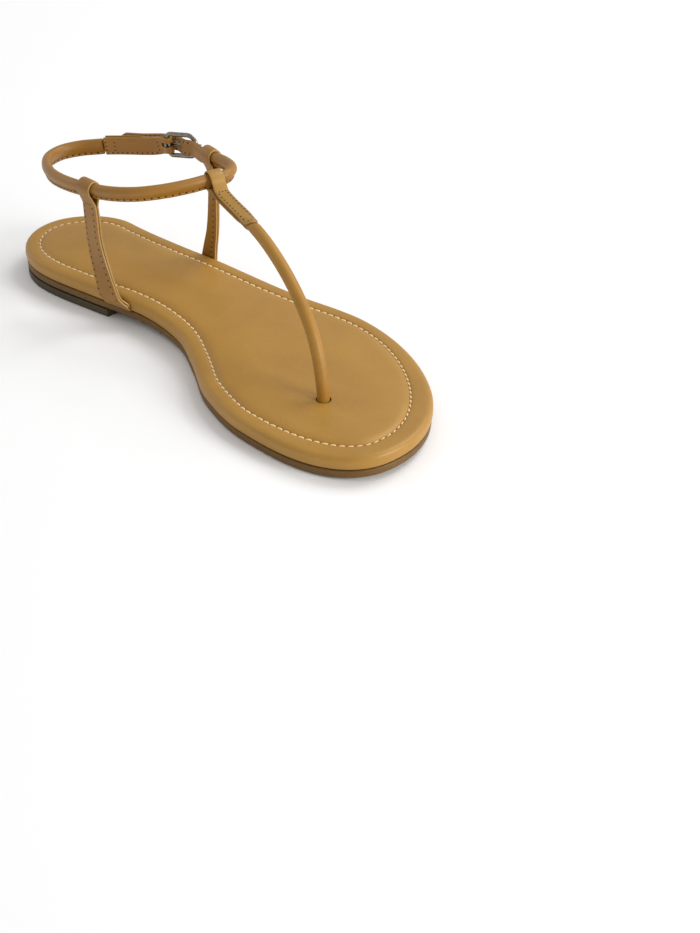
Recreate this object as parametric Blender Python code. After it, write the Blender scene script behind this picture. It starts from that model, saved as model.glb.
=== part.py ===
"""T strap sandal for the left foot, as separate pieces.

The tables are in millimetres, and each mesh is written in metres.
+Z is up, +Y points to the toe and +X to the arch side. The origin is on the floor,
under the middle of the shoe's length and ball width.
"""

import math
from collections import namedtuple

import bmesh
import bpy
from mathutils import Matrix, Vector

MM = 0.001
UP = Vector((0.0, 0.0, 1.0))

# Driving sizes of the sole, in millimetres
GAP = 0.3
TOE_Y = 125.6
HEEL_Y = -125.0
HEEL_RISE = 4.1
HEEL_LEVEL_Y = -50.0
FOREFOOT_Y = 18.0
ROLL_UP_Y = 86.0
TOE_SPRING = 2.4
OUTSOLE = 3.6
BREAST_Y = -52.0
INSOLE_BASE = OUTSOLE + GAP

# The sole's outline: widest lines of each side, and the roundness of its heel and toe
Side = namedtuple("Side", "rows heel_power toe_power")
Edge = namedtuple("Edge", "y x")
OUTER_SIDE = Side(
    rows=(Edge(-97, -25.7), Edge(-62, -28.5), Edge(-27, -34.1), Edge(3, -40.4),
          Edge(25, -45.5), Edge(42, -47.5)),
    heel_power=1.85, toe_power=1.9)
ARCH_SIDE = Side(
    rows=(Edge(-93, 31.9), Edge(-60, 27.2), Edge(-28, 20.5), Edge(-5, 21.5),
          Edge(14, 29.6), Edge(36, 41.2), Edge(66, 47.3)),
    heel_power=2.05, toe_power=2.5)
HEEL_TIP_X = 3.0
TOE_TIP_X = 14.3
HEEL_ROUND_Y = -97.0
TOE_ROUND_Y = 66.0
TOE_RIM_Y = 55.0

# Layers of each slab: inset from the outline, height above its own underside, and how much
# further in the layer lies at the toe's tip
Layer = namedtuple("Layer", "inset height toe_inset", defaults=(0.0,))
LIFT_LAYERS = (Layer(0.9, 0.0), Layer(0.5, 0.5), Layer(0.5, HEEL_RISE - GAP))
OUTSOLE_LAYERS = (Layer(1.7, 0.0), Layer(0.9, 0.3), Layer(0.5, 1.0), Layer(0.5, 2.9),
                  Layer(0.9, OUTSOLE))
INSOLE_LAYERS = (Layer(1.2, 0.0), Layer(0.5, 0.5), Layer(0.1, 1.6), Layer(0.0, 3.2),
                 Layer(0.15, 4.6), Layer(0.8, 5.6), Layer(1.9, 6.2), Layer(3.6, 6.4, 0.6),
                 Layer(6.3, 6.2, 2.8), Layer(7.0, 5.6, 2.8), Layer(7.7, 6.2, 2.8),
                 Layer(10.0, 6.9, 2.8), Layer(13.5, 7.3, 2.8))

# Toe hole and the line of the toe strap in plan
TOE_HOLE = Vector((12.9, 78.8, 0.0))
TAB_FOLD = Vector((-12.2, -17.6, 0.0))
TOE_HOLE_RADIUS = 3.25
TOE_STRAP_RADIUS = 2.65
TONGUE_HALF = 0.45

# The ankle strap runs round in one sloping plane
ANKLE_Z = 60.3
ANKLE_Z_AT_Y = -65.2
ANKLE_SLOPE = 0.166
ROLL_TALL = 6.6
ROLL_THICK = 4.7
ROLL_CORE_UP = 0.9
BILLET_TALL = 7.0
BILLET_THICK = 1.8

LEAF = 0.9
LEAF_CHAMFER = 0.22
LEAF_HALF_SPREAD = (LEAF + GAP) / 2

# Buckle
WIRE = 0.9
PRONG_WIRE = 0.6
FRAME_LONG = 15.5
FRAME_HALF_TALL = 5.0
FRAME_TILT_OUT = 3.4
FRAME_HINGE_ROUND = 1.6
FRAME_END_ROUND = 4.4


def ankle_z(y):
    """Height of the ankle strap's middle line over a place along the foot."""
    return ANKLE_Z + ANKLE_SLOPE * (y - ANKLE_Z_AT_Y)


HINGE = Vector((-31.6, -73.1, 60.6))
FRAME_END = Vector((-32.4, -57.8, 63.3))
BUCKLE_ALONG = (FRAME_END - HINGE).normalized()
BUCKLE_OUT = UP.cross(BUCKLE_ALONG).normalized()
BUCKLE_UP = BUCKLE_ALONG.cross(BUCKLE_OUT)


def at_buckle(along, out, up=0.0):
    """A place measured from the buckle's hinge bar: towards the toe, outwards and up."""
    return HINGE + BUCKLE_ALONG * along + BUCKLE_OUT * out + BUCKLE_UP * up


def smooth_step(t):
    """Eases from 0 to 1 with level ends."""
    t = min(max(t, 0.0), 1.0)
    return t * t * (3 - 2 * t)


def hermite(knots, values, t, level_ends=False):
    """Smooth curve through values at rising knots; values are numbers or vectors."""
    last = len(knots) - 1
    i = 0
    while i < last - 1 and t > knots[i + 1]:
        i += 1

    def slope(k):
        if level_ends and k in (0, last):
            return values[k] * 0.0
        low, high = max(k - 1, 0), min(k + 1, last)
        return (values[high] - values[low]) * (1.0 / (knots[high] - knots[low]))

    span = knots[i + 1] - knots[i]
    u = (t - knots[i]) / span
    start, end = values[i], values[i + 1]
    return (start * (2 * u**3 - 3 * u**2 + 1) + slope(i) * (span * (u**3 - 2 * u**2 + u))
            + end * (3 * u**2 - 2 * u**3) + slope(i + 1) * (span * (u**3 - u**2)))


# Collections, materials and mesh helpers

def clear_scene():
    for old in list(bpy.data.objects):
        bpy.data.objects.remove(old, do_unlink=True)


def new_collection(name):
    collection = bpy.data.collections.new(name)
    bpy.context.scene.collection.children.link(collection)
    return collection


def paint(obj, colour, roughness, metallic=0.0):
    """Gives an object its own plain material."""
    material = bpy.data.materials.new(obj.name)
    material.use_nodes = True
    shader = material.node_tree.nodes["Principled BSDF"]
    shader.inputs["Base Color"].default_value = (*colour, 1.0)
    shader.inputs["Roughness"].default_value = roughness
    shader.inputs["Metallic"].default_value = metallic
    obj.data.materials.append(material)


def add_mesh(name, bm, collection):
    """Turns a bmesh in millimetres into an object in metres, with its faces pointing out."""
    bmesh.ops.scale(bm, vec=(MM, MM, MM), verts=bm.verts)
    bmesh.ops.recalc_face_normals(bm, faces=bm.faces)
    mesh = bpy.data.meshes.new(name)
    bm.to_mesh(mesh)
    bm.free()
    mesh.shade_smooth()
    mesh.set_sharp_from_angle(angle=math.radians(38))
    obj = bpy.data.objects.new(name, mesh)
    collection.objects.link(obj)
    return obj


def cut(obj, cutter):
    """Takes a cutter's shape out of an object."""
    boolean = obj.modifiers.new("cut " + cutter.name, "BOOLEAN")
    boolean.operation = "DIFFERENCE"
    boolean.solver = "EXACT"
    boolean.object = cutter


def box_cutter(name, size, matrix, collection):
    """A box that only cuts, of the given size in millimetres, placed by a matrix."""
    bm = bmesh.new()
    bmesh.ops.create_cube(bm, size=1.0)
    bmesh.ops.scale(bm, vec=size, verts=bm.verts)
    bmesh.ops.transform(bm, matrix=matrix, verts=bm.verts)
    return hide_cutter(add_mesh(name, bm, collection))


def hide_cutter(obj):
    obj.hide_render = True
    obj.display_type = "WIRE"
    return obj


def axes_matrix(x_axis, y_axis, z_axis, place):
    matrix = Matrix((x_axis, y_axis, z_axis)).transposed().to_4x4()
    matrix.translation = place
    return matrix


# Sole

def side_x(side, y):
    """How far a side of the sole stands from the middle line."""
    first, last = side.rows[0], side.rows[-1]
    if y < first.y:
        u = min((first.y - y) / (first.y - HEEL_Y), 1.0)
        power = side.heel_power
        return HEEL_TIP_X + (first.x - HEEL_TIP_X) * (1 - u**power)**(1 / power)
    if y > last.y:
        u = min((y - last.y) / (TOE_Y - last.y), 1.0)
        power = side.toe_power
        return TOE_TIP_X + (last.x - TOE_TIP_X) * (1 - u**power)**(1 / power)
    return hermite([row.y for row in side.rows], [row.x for row in side.rows], y, True)


def sole_stations(heel_steps=8, middle_steps=14, toe_steps=9):
    """Places along the foot, closer together round the heel and the toe."""
    quarter = math.pi / 2
    heel = [HEEL_ROUND_Y + (HEEL_Y - HEEL_ROUND_Y) * math.sin(quarter * k / heel_steps)
            for k in range(heel_steps - 1, 0, -1)]
    middle = [HEEL_ROUND_Y + (TOE_ROUND_Y - HEEL_ROUND_Y) * k / middle_steps
              for k in range(middle_steps + 1)]
    toe = [TOE_ROUND_Y + (TOE_Y - TOE_ROUND_Y) * math.sin(quarter * k / toe_steps)
           for k in range(1, toe_steps)]
    return heel + middle + toe


def sole_ring(layer, stations, has_toe=True):
    """One inset copy of the outline: heel tip, arch side, toe tip, then the outer side back."""
    ring = [Vector((HEEL_TIP_X, HEEL_Y))]
    ring += [Vector((side_x(ARCH_SIDE, y), y)) for y in stations]
    if has_toe:
        ring.append(Vector((TOE_TIP_X, TOE_Y)))
    ring += [Vector((side_x(OUTER_SIDE, y), y)) for y in reversed(stations)]
    inner = []
    for i, point in enumerate(ring):
        across = ring[(i + 1) % len(ring)] - ring[i - 1]
        if not has_toe and i in (len(stations), len(stations) + 1):
            across = Vector((0.0, 1.0 if i == len(stations) else -1.0))
        inset = layer.inset + layer.toe_inset * smooth_step((point.y - TOE_RIM_Y) / (TOE_Y - TOE_RIM_Y))
        inner.append(point + Vector((-across.y, across.x)).normalized() * inset)
    return inner


def rise(y):
    """Height of the outsole's underside: level heel seat, flat forefoot, slight toe spring."""
    if y < FOREFOOT_Y:
        return HEEL_RISE * (1 - smooth_step((y - HEEL_LEVEL_Y) / (FOREFOOT_Y - HEEL_LEVEL_Y)))
    if y > ROLL_UP_Y:
        return TOE_SPRING * ((y - ROLL_UP_Y) / (TOE_Y - ROLL_UP_Y))**2
    return 0.0


def slab(name, layers, base, collection, follow=rise, stations=None, has_toe=True):
    """Stacks inset outlines into a closed slab that follows the sole's line."""
    stations = stations or sole_stations()
    bm = bmesh.new()
    rings = []
    for layer in layers:
        ring = sole_ring(layer, stations, has_toe)
        rings.append([bm.verts.new((p.x, p.y, follow(p.y) + base + layer.height)) for p in ring])
    count = len(rings[0])
    for low, high in zip(rings, rings[1:]):
        for i in range(count):
            j = (i + 1) % count
            bm.faces.new((low[i], low[j], high[j], high[i]))
    # The flat top and bottom are strips from one side to the other
    for ring in (rings[0], rings[-1]):
        bm.faces.new((ring[0], ring[1], ring[-1]))
        for i in range(1, len(stations)):
            bm.faces.new((ring[i], ring[i + 1], ring[-i - 1], ring[-i]))
        if has_toe:
            tip = len(stations) + 1
            bm.faces.new((ring[tip - 1], ring[tip], ring[tip + 1]))
    return add_mesh(name, bm, collection)


def make_sole(parts, cutters):
    """Heel lift, outsole and the padded insole with its toe hole and strap recesses."""
    lift_stations = [y for y in sole_stations() if y < BREAST_Y - 4] + [BREAST_Y]
    lift = slab("heel_lift", LIFT_LAYERS, 0.0, parts, lambda y: 0.0, lift_stations, False)
    paint(lift, (0.13, 0.075, 0.028), 0.6)

    outsole = slab("outsole", OUTSOLE_LAYERS, 0.0, parts)
    paint(outsole, (0.20, 0.115, 0.042), 0.55)

    insole = slab("insole", INSOLE_LAYERS, INSOLE_BASE, parts)
    paint(insole, (0.42, 0.25, 0.095), 0.5)

    bm = bmesh.new()
    bmesh.ops.create_cone(bm, cap_ends=True, segments=24, depth=30.0,
                          radius1=TOE_HOLE_RADIUS, radius2=TOE_HOLE_RADIUS)
    bmesh.ops.translate(bm, vec=TOE_HOLE, verts=bm.verts)
    cut(insole, hide_cutter(add_mesh("toe_hole", bm, cutters)))
    return insole


# Straps

def path_frames(rows, step):
    """Reads a smooth path through strap rows about every step millimetres.

    Gives (place, along, out, across, width, distance to the far end) for each station.
    """
    places = [Vector(row.place) for row in rows]
    knots = [0.0]
    for a, b in zip(places, places[1:]):
        knots.append(knots[-1] + (b - a).length)
    stations = []
    for a, b in zip(knots, knots[1:]):
        pieces = max(1, round((b - a) / step))
        stations += [a + (b - a) * k / pieces for k in range(pieces)]
    stations.append(knots[-1])
    widths = [row.width for row in rows]
    sideways = [row.across for row in rows]
    total = knots[-1]
    small = 0.01
    frames = []
    for s in stations:
        place = hermite(knots, places, s)
        along = (hermite(knots, places, min(s + small, total))
                 - hermite(knots, places, max(s - small, 0.0))).normalized()
        across = hermite(knots, sideways, s)
        across = (across - along * across.dot(along)).normalized()
        out = across.cross(along)
        frames.append((place, along, out, across, hermite(knots, widths, s), total - s))
    return frames


def skin(name, rings, collection):
    """Closes a row of equal rings into one solid."""
    bm = bmesh.new()
    loops = [[bm.verts.new(point) for point in ring] for ring in rings]
    count = len(loops[0])
    for low, high in zip(loops, loops[1:]):
        for i in range(count):
            j = (i + 1) % count
            bm.faces.new((low[i], low[j], high[j], high[i]))
    bm.faces.new(loops[0])
    bm.faces.new(loops[-1])
    return add_mesh(name, bm, collection)


# across is the direction of the strap's width, before it is squared to the path
StrapRow = namedtuple("StrapRow", "place width across")
Spread = namedtuple("Spread", "distance half")


def folded_strap(name, rows, spreads, depth, collection, step=4.0, turn_steps=8,
                 thickness=LEAF, shift=None, reach=None):
    """A strip folded in two round what it holds, from its free ends to the fold.

    rows lead from the free ends to the middle of the fold. spreads give half the distance
    between the two leaves against the distance from the fold, and depth is how far the
    fold reaches past its middle. shift moves each finished corner, for a foot that
    follows the sole. reach keeps only that length of the path, next to the fold.
    """
    frames = [frame for frame in path_frames(rows, step)
              if reach is None or frame[-1] <= reach]
    knots = [row.distance for row in spreads]
    halves = [row.half for row in spreads]

    def half_spread(distance):
        return hermite(knots, halves, distance, True) if distance < knots[-1] else halves[-1]

    leaf_path = []
    for place, along, out, across, width, distance in frames:
        leaf_path.append((place + out * half_spread(distance), across, width))
    place, along, out, across, width, distance = frames[-1]
    for k in range(1, turn_steps):
        angle = math.pi * k / turn_steps
        turned = place + out * halves[0] * math.cos(angle) + along * depth * math.sin(angle)
        leaf_path.append((turned, across, width))
    for place, along, out, across, width, distance in reversed(frames):
        leaf_path.append((place - out * half_spread(distance), across, width))

    rings = []
    for i, (place, across, width) in enumerate(leaf_path):
        before = leaf_path[max(i - 1, 0)][0]
        after = leaf_path[min(i + 1, len(leaf_path) - 1)][0]
        normal = across.cross((after - before).normalized()).normalized()
        side, half = width / 2, thickness / 2
        eased = LEAF_CHAMFER
        corners = ((side, half - eased), (side - eased, half), (eased - side, half),
                   (-side, half - eased), (-side, -half), (side, -half))
        ring = [place + across * a + normal * n for a, n in corners]
        rings.append([shift(point) if shift else point for point in ring])
    return skin(name, rings, collection)


# Half of the ankle strap's section, from its top to its lower edge, for the stuffed roll
# with its sewn fin and for the flat billet; each is given for one unit of thickness and height
Half = namedtuple("Half", "roll_out roll_up flat_out flat_up")
ANKLE_SECTION = (
    Half(0.00, 0.500, 0.00, 0.500), Half(0.33, 0.415, 0.40, 0.485),
    Half(0.49, 0.240, 0.50, 0.400), Half(0.49, 0.030, 0.50, 0.130),
    Half(0.35, -0.130, 0.50, -0.150), Half(0.20, -0.270, 0.50, -0.400),
    Half(0.18, -0.500, 0.40, -0.500))

AnkleRow = namedtuple("AnkleRow", "place flat tall thick")


def ankle_row(x, y, flat=0.0, tall=ROLL_TALL, thick=ROLL_THICK):
    """A row in the strap's plane; a taller fin only reaches further down."""
    lower = 0.0 if flat else (tall - ROLL_TALL) / 2
    return AnkleRow(Vector((x, y, ankle_z(y) - lower)), flat, tall, thick)


def billet_row(place, tall=BILLET_TALL):
    return AnkleRow(place, 1.0, tall, BILLET_THICK)


# From the tongue inside the buckle's end piece, round the heel, the arch side and the
# front, to the billet through the buckle and its free tail
ANKLE_ROWS = (
    ankle_row(-26.2, -90.1, 1.0, 5.8, 0.9),
    ankle_row(-22.2, -98.3, 1.0, 5.8, 0.9),
    ankle_row(-18.4, -105.1, 1.0, 6.0, 0.9),
    ankle_row(-17.6, -106.2, 0.0, 7.6, 4.4),
    ankle_row(-10.5, -113.2, 0.0, 7.6),
    ankle_row(-1.5, -116.1, 0.0, 7.4),
    ankle_row(8.0, -112.6, 0.0, 7.4),
    ankle_row(16.0, -102.9, 0.0, 7.4),
    ankle_row(21.8, -90.9, 0.0, 7.2),
    ankle_row(25.0, -75.9, 0.0, 6.9),
    ankle_row(25.6, -59.0),
    ankle_row(23.4, -44.0),
    ankle_row(17.8, -33.0),
    ankle_row(9.0, -25.4),
    ankle_row(-1.0, -20.6),
    ankle_row(-10.0, -18.3),
    ankle_row(-18.0, -16.0),
    ankle_row(-25.0, -20.5),
    ankle_row(-29.6, -30.5),
    ankle_row(-31.6, -42.5),
    ankle_row(-32.4, -50.0, 0.55, 6.8, 3.2),
    billet_row(at_buckle(15.5, 1.3, -0.4)),
    billet_row(at_buckle(10.5, 1.2, -0.4)),
    billet_row(at_buckle(7.2, 2.0, -0.4)),
    billet_row(at_buckle(3.0, 3.7, -0.4)),
    billet_row(at_buckle(-2.0, 4.1, -0.4)),
    billet_row(at_buckle(-10.0, 4.4, -1.0)),
    billet_row(Vector((-33.4, -94.9, ankle_z(-94.9) - 0.7))),
    billet_row(Vector((-30.4, -103.6, ankle_z(-103.6) - 0.7))),
    billet_row(Vector((-29.4, -105.9, ankle_z(-105.9) - 0.7)), 4.4),
)


def ankle_frame(t):
    """Place, axes and section of the ankle strap at a distance t along it."""
    places = [row.place for row in ANKLE_ROWS]
    small = 0.01
    total = ANKLE_KNOTS[-1]
    place = hermite(ANKLE_KNOTS, places, t)
    along = (hermite(ANKLE_KNOTS, places, min(t + small, total))
             - hermite(ANKLE_KNOTS, places, max(t - small, 0.0))).normalized()
    up = (UP - along * UP.dot(along)).normalized()
    i = 0
    while i < len(ANKLE_KNOTS) - 2 and t > ANKLE_KNOTS[i + 1]:
        i += 1
    ease = smooth_step((t - ANKLE_KNOTS[i]) / (ANKLE_KNOTS[i + 1] - ANKLE_KNOTS[i]))
    low, high = ANKLE_ROWS[i], ANKLE_ROWS[i + 1]
    flat, tall, thick = (getattr(low, f) + (getattr(high, f) - getattr(low, f)) * ease
                         for f in ("flat", "tall", "thick"))
    return place, along, along.cross(up), up, flat, tall, thick


def chord_knots(places):
    knots = [0.0]
    for a, b in zip(places, places[1:]):
        knots.append(knots[-1] + (b - a).length)
    return knots


ANKLE_KNOTS = chord_knots([row.place for row in ANKLE_ROWS])
ANKLE_STEP = 3.6


def make_ankle_strap(parts, cutters):
    """Rolled ankle strap with its sewn fin, flat at both ends, with the prong's hole."""
    stations = []
    for a, b in zip(ANKLE_KNOTS, ANKLE_KNOTS[1:]):
        pieces = max(1, round((b - a) / ANKLE_STEP))
        stations += [a + (b - a) * k / pieces for k in range(pieces)]
    stations.append(ANKLE_KNOTS[-1])
    rings = []
    for t in stations:
        place, along, out, up, flat, tall, thick = ankle_frame(t)
        half = [((row.roll_out * (1 - flat) + row.flat_out * flat) * thick,
                 (row.roll_up * (1 - flat) + row.flat_up * flat) * tall)
                for row in ANKLE_SECTION]
        corners = half + [(-o, u) for o, u in reversed(half[1:])]
        rings.append([place + out * o + up * u for o, u in corners])
    strap = skin("ankle_strap", rings, parts)
    paint(strap, (0.44, 0.26, 0.10), 0.5)
    hole_middle = at_buckle(4.6, 2.9, -0.1)
    axes = axes_matrix(BUCKLE_ALONG, BUCKLE_OUT, BUCKLE_UP, hole_middle)
    cut(strap, box_cutter("prong_hole", (6.2, 6.0, 2.0), axes, cutters))


def plan_x(y):
    """The toe strap lies over one straight line on the floor, from its hole to its fold."""
    share = (TOE_HOLE.y - y) / (TOE_HOLE.y - TAB_FOLD.y)
    return TOE_HOLE.x + (TAB_FOLD.x - TOE_HOLE.x) * share


# The toe strap's middle line, up from the hole to where its tab holds the ankle strap
ToeRow = namedtuple("ToeRow", "y z")
TOE_STRAP_ROWS = (
    ToeRow(78.8, 4.2), ToeRow(78.8, 9.0), ToeRow(78.3, 14.5), ToeRow(76.6, 22.0),
    ToeRow(73.4, 31.0), ToeRow(68.6, 38.8), ToeRow(61.8, 45.5), ToeRow(51.5, 52.4),
    ToeRow(40.5, 57.4), ToeRow(29.5, 60.8), ToeRow(18.5, 62.6), ToeRow(7.0, 63.3),
    ToeRow(-3.0, 63.8), ToeRow(-9.5, 64.6), ToeRow(-13.2, 66.7), ToeRow(-15.6, 67.9),
    ToeRow(TAB_FOLD.y, ankle_z(TAB_FOLD.y)))
TOE_SIDES = 12
TONGUE_END = 9.5
ROLL_END = 43.5
TONGUE_START = 39.5
TAB_LONG = 38.5

# The tab clasps the tongue, and its fold holds the front of the ankle strap
TAB_ACROSS = (TAB_FOLD - TOE_HOLE).cross(UP).normalized()
TAB_WIDTH = 6.4
TAB_LEAF = 0.8
TAB_HALF_SPREAD = TONGUE_HALF + GAP + TAB_LEAF / 2
TAB_DEPTH = ROLL_THICK / 2 + 1.6 * GAP + TAB_LEAF / 2
TAB_SPREADS = (Spread(0.0, ROLL_TALL / 2 + 2 * GAP + TAB_LEAF / 2), Spread(1.3, 4.15),
               Spread(2.6, 3.4), Spread(4.4, 2.2), Spread(6.8, 1.4),
               Spread(9.5, TAB_HALF_SPREAD))


def toe_strap_rows():
    return [StrapRow(Vector((plan_x(row.y), row.y, row.z)), TAB_WIDTH, TAB_ACROSS)
            for row in TOE_STRAP_ROWS]


def make_toe_strap(parts):
    """Round roll from the toe hole, flattened into a tongue at its top."""
    rings = []
    for place, along, out, across, width, left in path_frames(toe_strap_rows(), 3.6):
        if left < TONGUE_END:
            break
        flat = smooth_step((ROLL_END - left) / (ROLL_END - TONGUE_START))
        thick = TOE_STRAP_RADIUS + (TONGUE_HALF - TOE_STRAP_RADIUS) * flat
        angles = [2 * math.pi * k / TOE_SIDES for k in range(TOE_SIDES)]
        rings.append([place + across * TOE_STRAP_RADIUS * math.cos(a) + out * thick * math.sin(a)
                      for a in angles])
    paint(skin("toe_strap", rings, parts), (0.44, 0.26, 0.10), 0.48)


def make_tab(parts):
    tab = folded_strap("t_tab", toe_strap_rows(), TAB_SPREADS, TAB_DEPTH, parts,
                       step=3.6, thickness=TAB_LEAF, reach=TAB_LONG)
    paint(tab, (0.42, 0.25, 0.095), 0.5)


# The side straps: from the foot tucked under the insole, up its side, to the ankle strap
# skew turns the strap's width to follow the sole's side below and the roll above
SideRow = namedtuple("SideRow", "y z x width skew")
FIN_SPREADS = (Spread(0.0, 3.2), Spread(1.3, 3.1), Spread(2.8, 2.45), Spread(4.4, 1.8),
               Spread(8.0, LEAF_HALF_SPREAD))
SIDE_LOOP_DEPTH = 3.6
FOOT_TUCK = 8.0
FOOT_BEND = 2.4
RECESS_TALL = 4.4
ARCH_STRAP_ROWS = (
    SideRow(-46.0, 13.2, 26.6, 12.4, -0.21), SideRow(-50.6, 19.0, 25.8, 10.4, -0.18),
    SideRow(-55.6, 27.4, 24.3, 9.2, -0.08),
    SideRow(-58.4, 38.4, 24.6, 8.9, -0.04), SideRow(-57.2, 50.4, 25.3, 8.8, -0.05))
ARCH_STRAP_TOP = SideRow(-57.7, ankle_z(-57.7) + ROLL_CORE_UP, 25.5, 7.8, -0.05)
OUTER_STRAP_ROWS = (
    SideRow(-45.7, 18.6, -31.9, 7.6, -0.1), SideRow(-43.2, 28.6, -31.6, 6.9, 0.0),
    SideRow(-41.7, 42.6, -31.4, 6.5, 0.08), SideRow(-41.5, 52.6, -31.4, 6.5, 0.13))
OUTER_STRAP_TOP = SideRow(-42.8, ankle_z(-42.8) + ROLL_CORE_UP, -31.65, 7.2, 0.14)


def make_side_strap(name, side, foot_y, foot_width, body, top, parts, cutters, insole):
    """A folded side strap, and the recess for its foot in the insole's underside."""
    outward = 1.0 if side is ARCH_SIDE else -1.0

    def across(skew):
        return Vector((skew, 1.0, 0.0)) * outward

    # The foot goes in square to the sole's side
    wall = Vector((side_x(side, foot_y), foot_y, 0.0))
    wall_skew = (side_x(side, foot_y + 1) - side_x(side, foot_y - 1)) / 2
    away = Vector((outward, -wall_skew * outward, 0.0)).normalized()
    mid = LEAF_HALF_SPREAD + LEAF / 2
    foot_z = rise(foot_y) + INSOLE_BASE + mid
    foot = [(-FOOT_TUCK, foot_z)]
    for k in range(5):
        angle = math.pi / 2 * k / 4
        foot.append((GAP + mid - FOOT_BEND * (1 - math.sin(angle)),
                     foot_z + FOOT_BEND * (1 - math.cos(angle))))
    rows = [StrapRow(wall + away * off + UP * z, foot_width, across(wall_skew))
            for off, z in foot]
    rows += [StrapRow(Vector((row.x, row.y, row.z)), row.width, across(row.skew))
             for row in (*body, top)]

    def follow_sole(point):
        """Lets the tucked foot lie along the sloping sole."""
        share = 1 - smooth_step((point.z - 12.0) / 6.0)
        return point + UP * (rise(point.y) - rise(foot_y)) * share

    strap = folded_strap(name, rows, FIN_SPREADS, SIDE_LOOP_DEPTH, parts, shift=follow_sole)
    paint(strap, (0.40, 0.235, 0.09), 0.5)

    size = ((FOOT_TUCK + GAP) * 2, foot_width + 2 * GAP + 0.4, RECESS_TALL * 2)
    axes = axes_matrix(away, UP.cross(away), UP, wall + UP * (rise(foot_y) + INSOLE_BASE))
    cut(insole, box_cutter(name + "_recess", size, axes, cutters))


# Buckle

def wire(name, points, radius, cyclic, collection):
    """A round wire along points in millimetres."""
    curve = bpy.data.curves.new(name, "CURVE")
    curve.dimensions = "3D"
    curve.bevel_depth = radius * MM
    curve.bevel_resolution = 2
    curve.use_fill_caps = not cyclic
    spline = curve.splines.new("POLY")
    spline.points.add(len(points) - 1)
    for target, point in zip(spline.points, points):
        target.co = (*(point * MM), 1.0)
    spline.use_cyclic_u = cyclic
    obj = bpy.data.objects.new(name, curve)
    collection.objects.link(obj)
    return obj


def frame_points():
    """The frame's middle line: straight hinge bar, rails, and an end tilted outwards."""
    points = []
    corners = ((0.0, -1, FRAME_HINGE_ROUND, 180), (FRAME_LONG, -1, FRAME_END_ROUND, 270),
               (FRAME_LONG, 1, FRAME_END_ROUND, 0), (0.0, 1, FRAME_HINGE_ROUND, 90))
    for along, side, radius, start in corners:
        inward = radius if along == 0.0 else -radius
        steps = 6 if radius > 3 else 3
        for k in range(steps + 1):
            angle = math.radians(start + 90 * k / steps)
            a = along + inward + radius * math.cos(angle)
            u = side * (FRAME_HALF_TALL - radius) + radius * math.sin(angle)
            out = FRAME_TILT_OUT * a / FRAME_LONG
            points.append(at_buckle(a, out, u))
    return points


def prong_points():
    """The prong's middle line: a turn round the hinge bar, then over the frame's end."""
    turn = WIRE + 0.2 + PRONG_WIRE
    points = []
    for k in range(9):
        angle = math.radians(-70 - 200 * k / 8)
        points.append(at_buckle(turn * math.cos(angle), turn * math.sin(angle)))
    end_out = FRAME_TILT_OUT + WIRE + GAP + PRONG_WIRE
    for share in (0.25, 0.5, 0.75, 1.0, 1.06):
        points.append(at_buckle(FRAME_LONG * share, turn + (end_out - turn) * share))
    return points


BAR_SPREAD = WIRE + GAP + LEAF / 2
CHAPE_HALF_SPREAD = TONGUE_HALF + GAP + LEAF / 2
CHAPE_SPREADS = (Spread(0.0, BAR_SPREAD), Spread(1.2, BAR_SPREAD - 0.1),
                 Spread(5.5, LEAF_HALF_SPREAD + 0.1), Spread(13.0, LEAF_HALF_SPREAD + 0.1),
                 Spread(17.0, CHAPE_HALF_SPREAD))


def make_buckle(parts, cutters):
    """Frame, prong, and the folded end piece that holds the hinge bar."""
    frame = wire("buckle_frame", frame_points(), WIRE, True, parts)
    paint(frame, (0.42, 0.40, 0.37), 0.3, 1.0)
    prong = wire("buckle_prong", prong_points(), PRONG_WIRE, False, parts)
    paint(prong, (0.42, 0.40, 0.37), 0.3, 1.0)

    places = [ankle_row(x, y).place for x, y in
              ((-18.8, -104.4), (-22.2, -98.3), (-26.2, -90.1), (-29.5, -82.2))]
    places += [at_buckle(-3.0, 0.0, -0.6), at_buckle(0.0, 0.0, -0.4)]
    widths = (8.4, 8.4, 8.4, 8.4, 7.8, 7.2)
    rows = [StrapRow(place, width, UP * -1.0) for place, width in zip(places, widths)]
    chape = folded_strap("buckle_chape", rows, CHAPE_SPREADS, BAR_SPREAD, parts)
    paint(chape, (0.42, 0.25, 0.095), 0.5)
    axes = axes_matrix(BUCKLE_ALONG, BUCKLE_OUT, BUCKLE_UP, at_buckle(0.2, 0.0))
    cut(chape, box_cutter("prong_slot", (6.6, 9.0, 1.9), axes, cutters))


def main():
    clear_scene()
    parts = new_collection("t_strap_sandal")
    cutters = new_collection("cutters")
    insole = make_sole(parts, cutters)
    make_toe_strap(parts)
    make_tab(parts)
    make_side_strap("side_strap_medial", ARCH_SIDE, -44.5, 13.5, ARCH_STRAP_ROWS,
                    ARCH_STRAP_TOP, parts, cutters, insole)
    make_side_strap("side_strap_lateral", OUTER_SIDE, -47.0, 8.4, OUTER_STRAP_ROWS,
                    OUTER_STRAP_TOP, parts, cutters, insole)
    make_ankle_strap(parts, cutters)
    make_buckle(parts, cutters)


main()
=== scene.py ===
# %% [markdown]
# # A flat T strap sandal, left foot
#
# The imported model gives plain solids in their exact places. Here each one is dressed:
# leather with a fine grain, thread in every seam, a plated buckle. The solids stay as the
# frame that everything is fitted to, and each detailed piece stands in for its own solid.
# Sizes are in millimetres, and become metres where a mesh is made.

# %% The frame and its box
import math
import random
from collections import namedtuple

import bmesh
import bpy
from mathutils import Matrix, Vector


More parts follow.
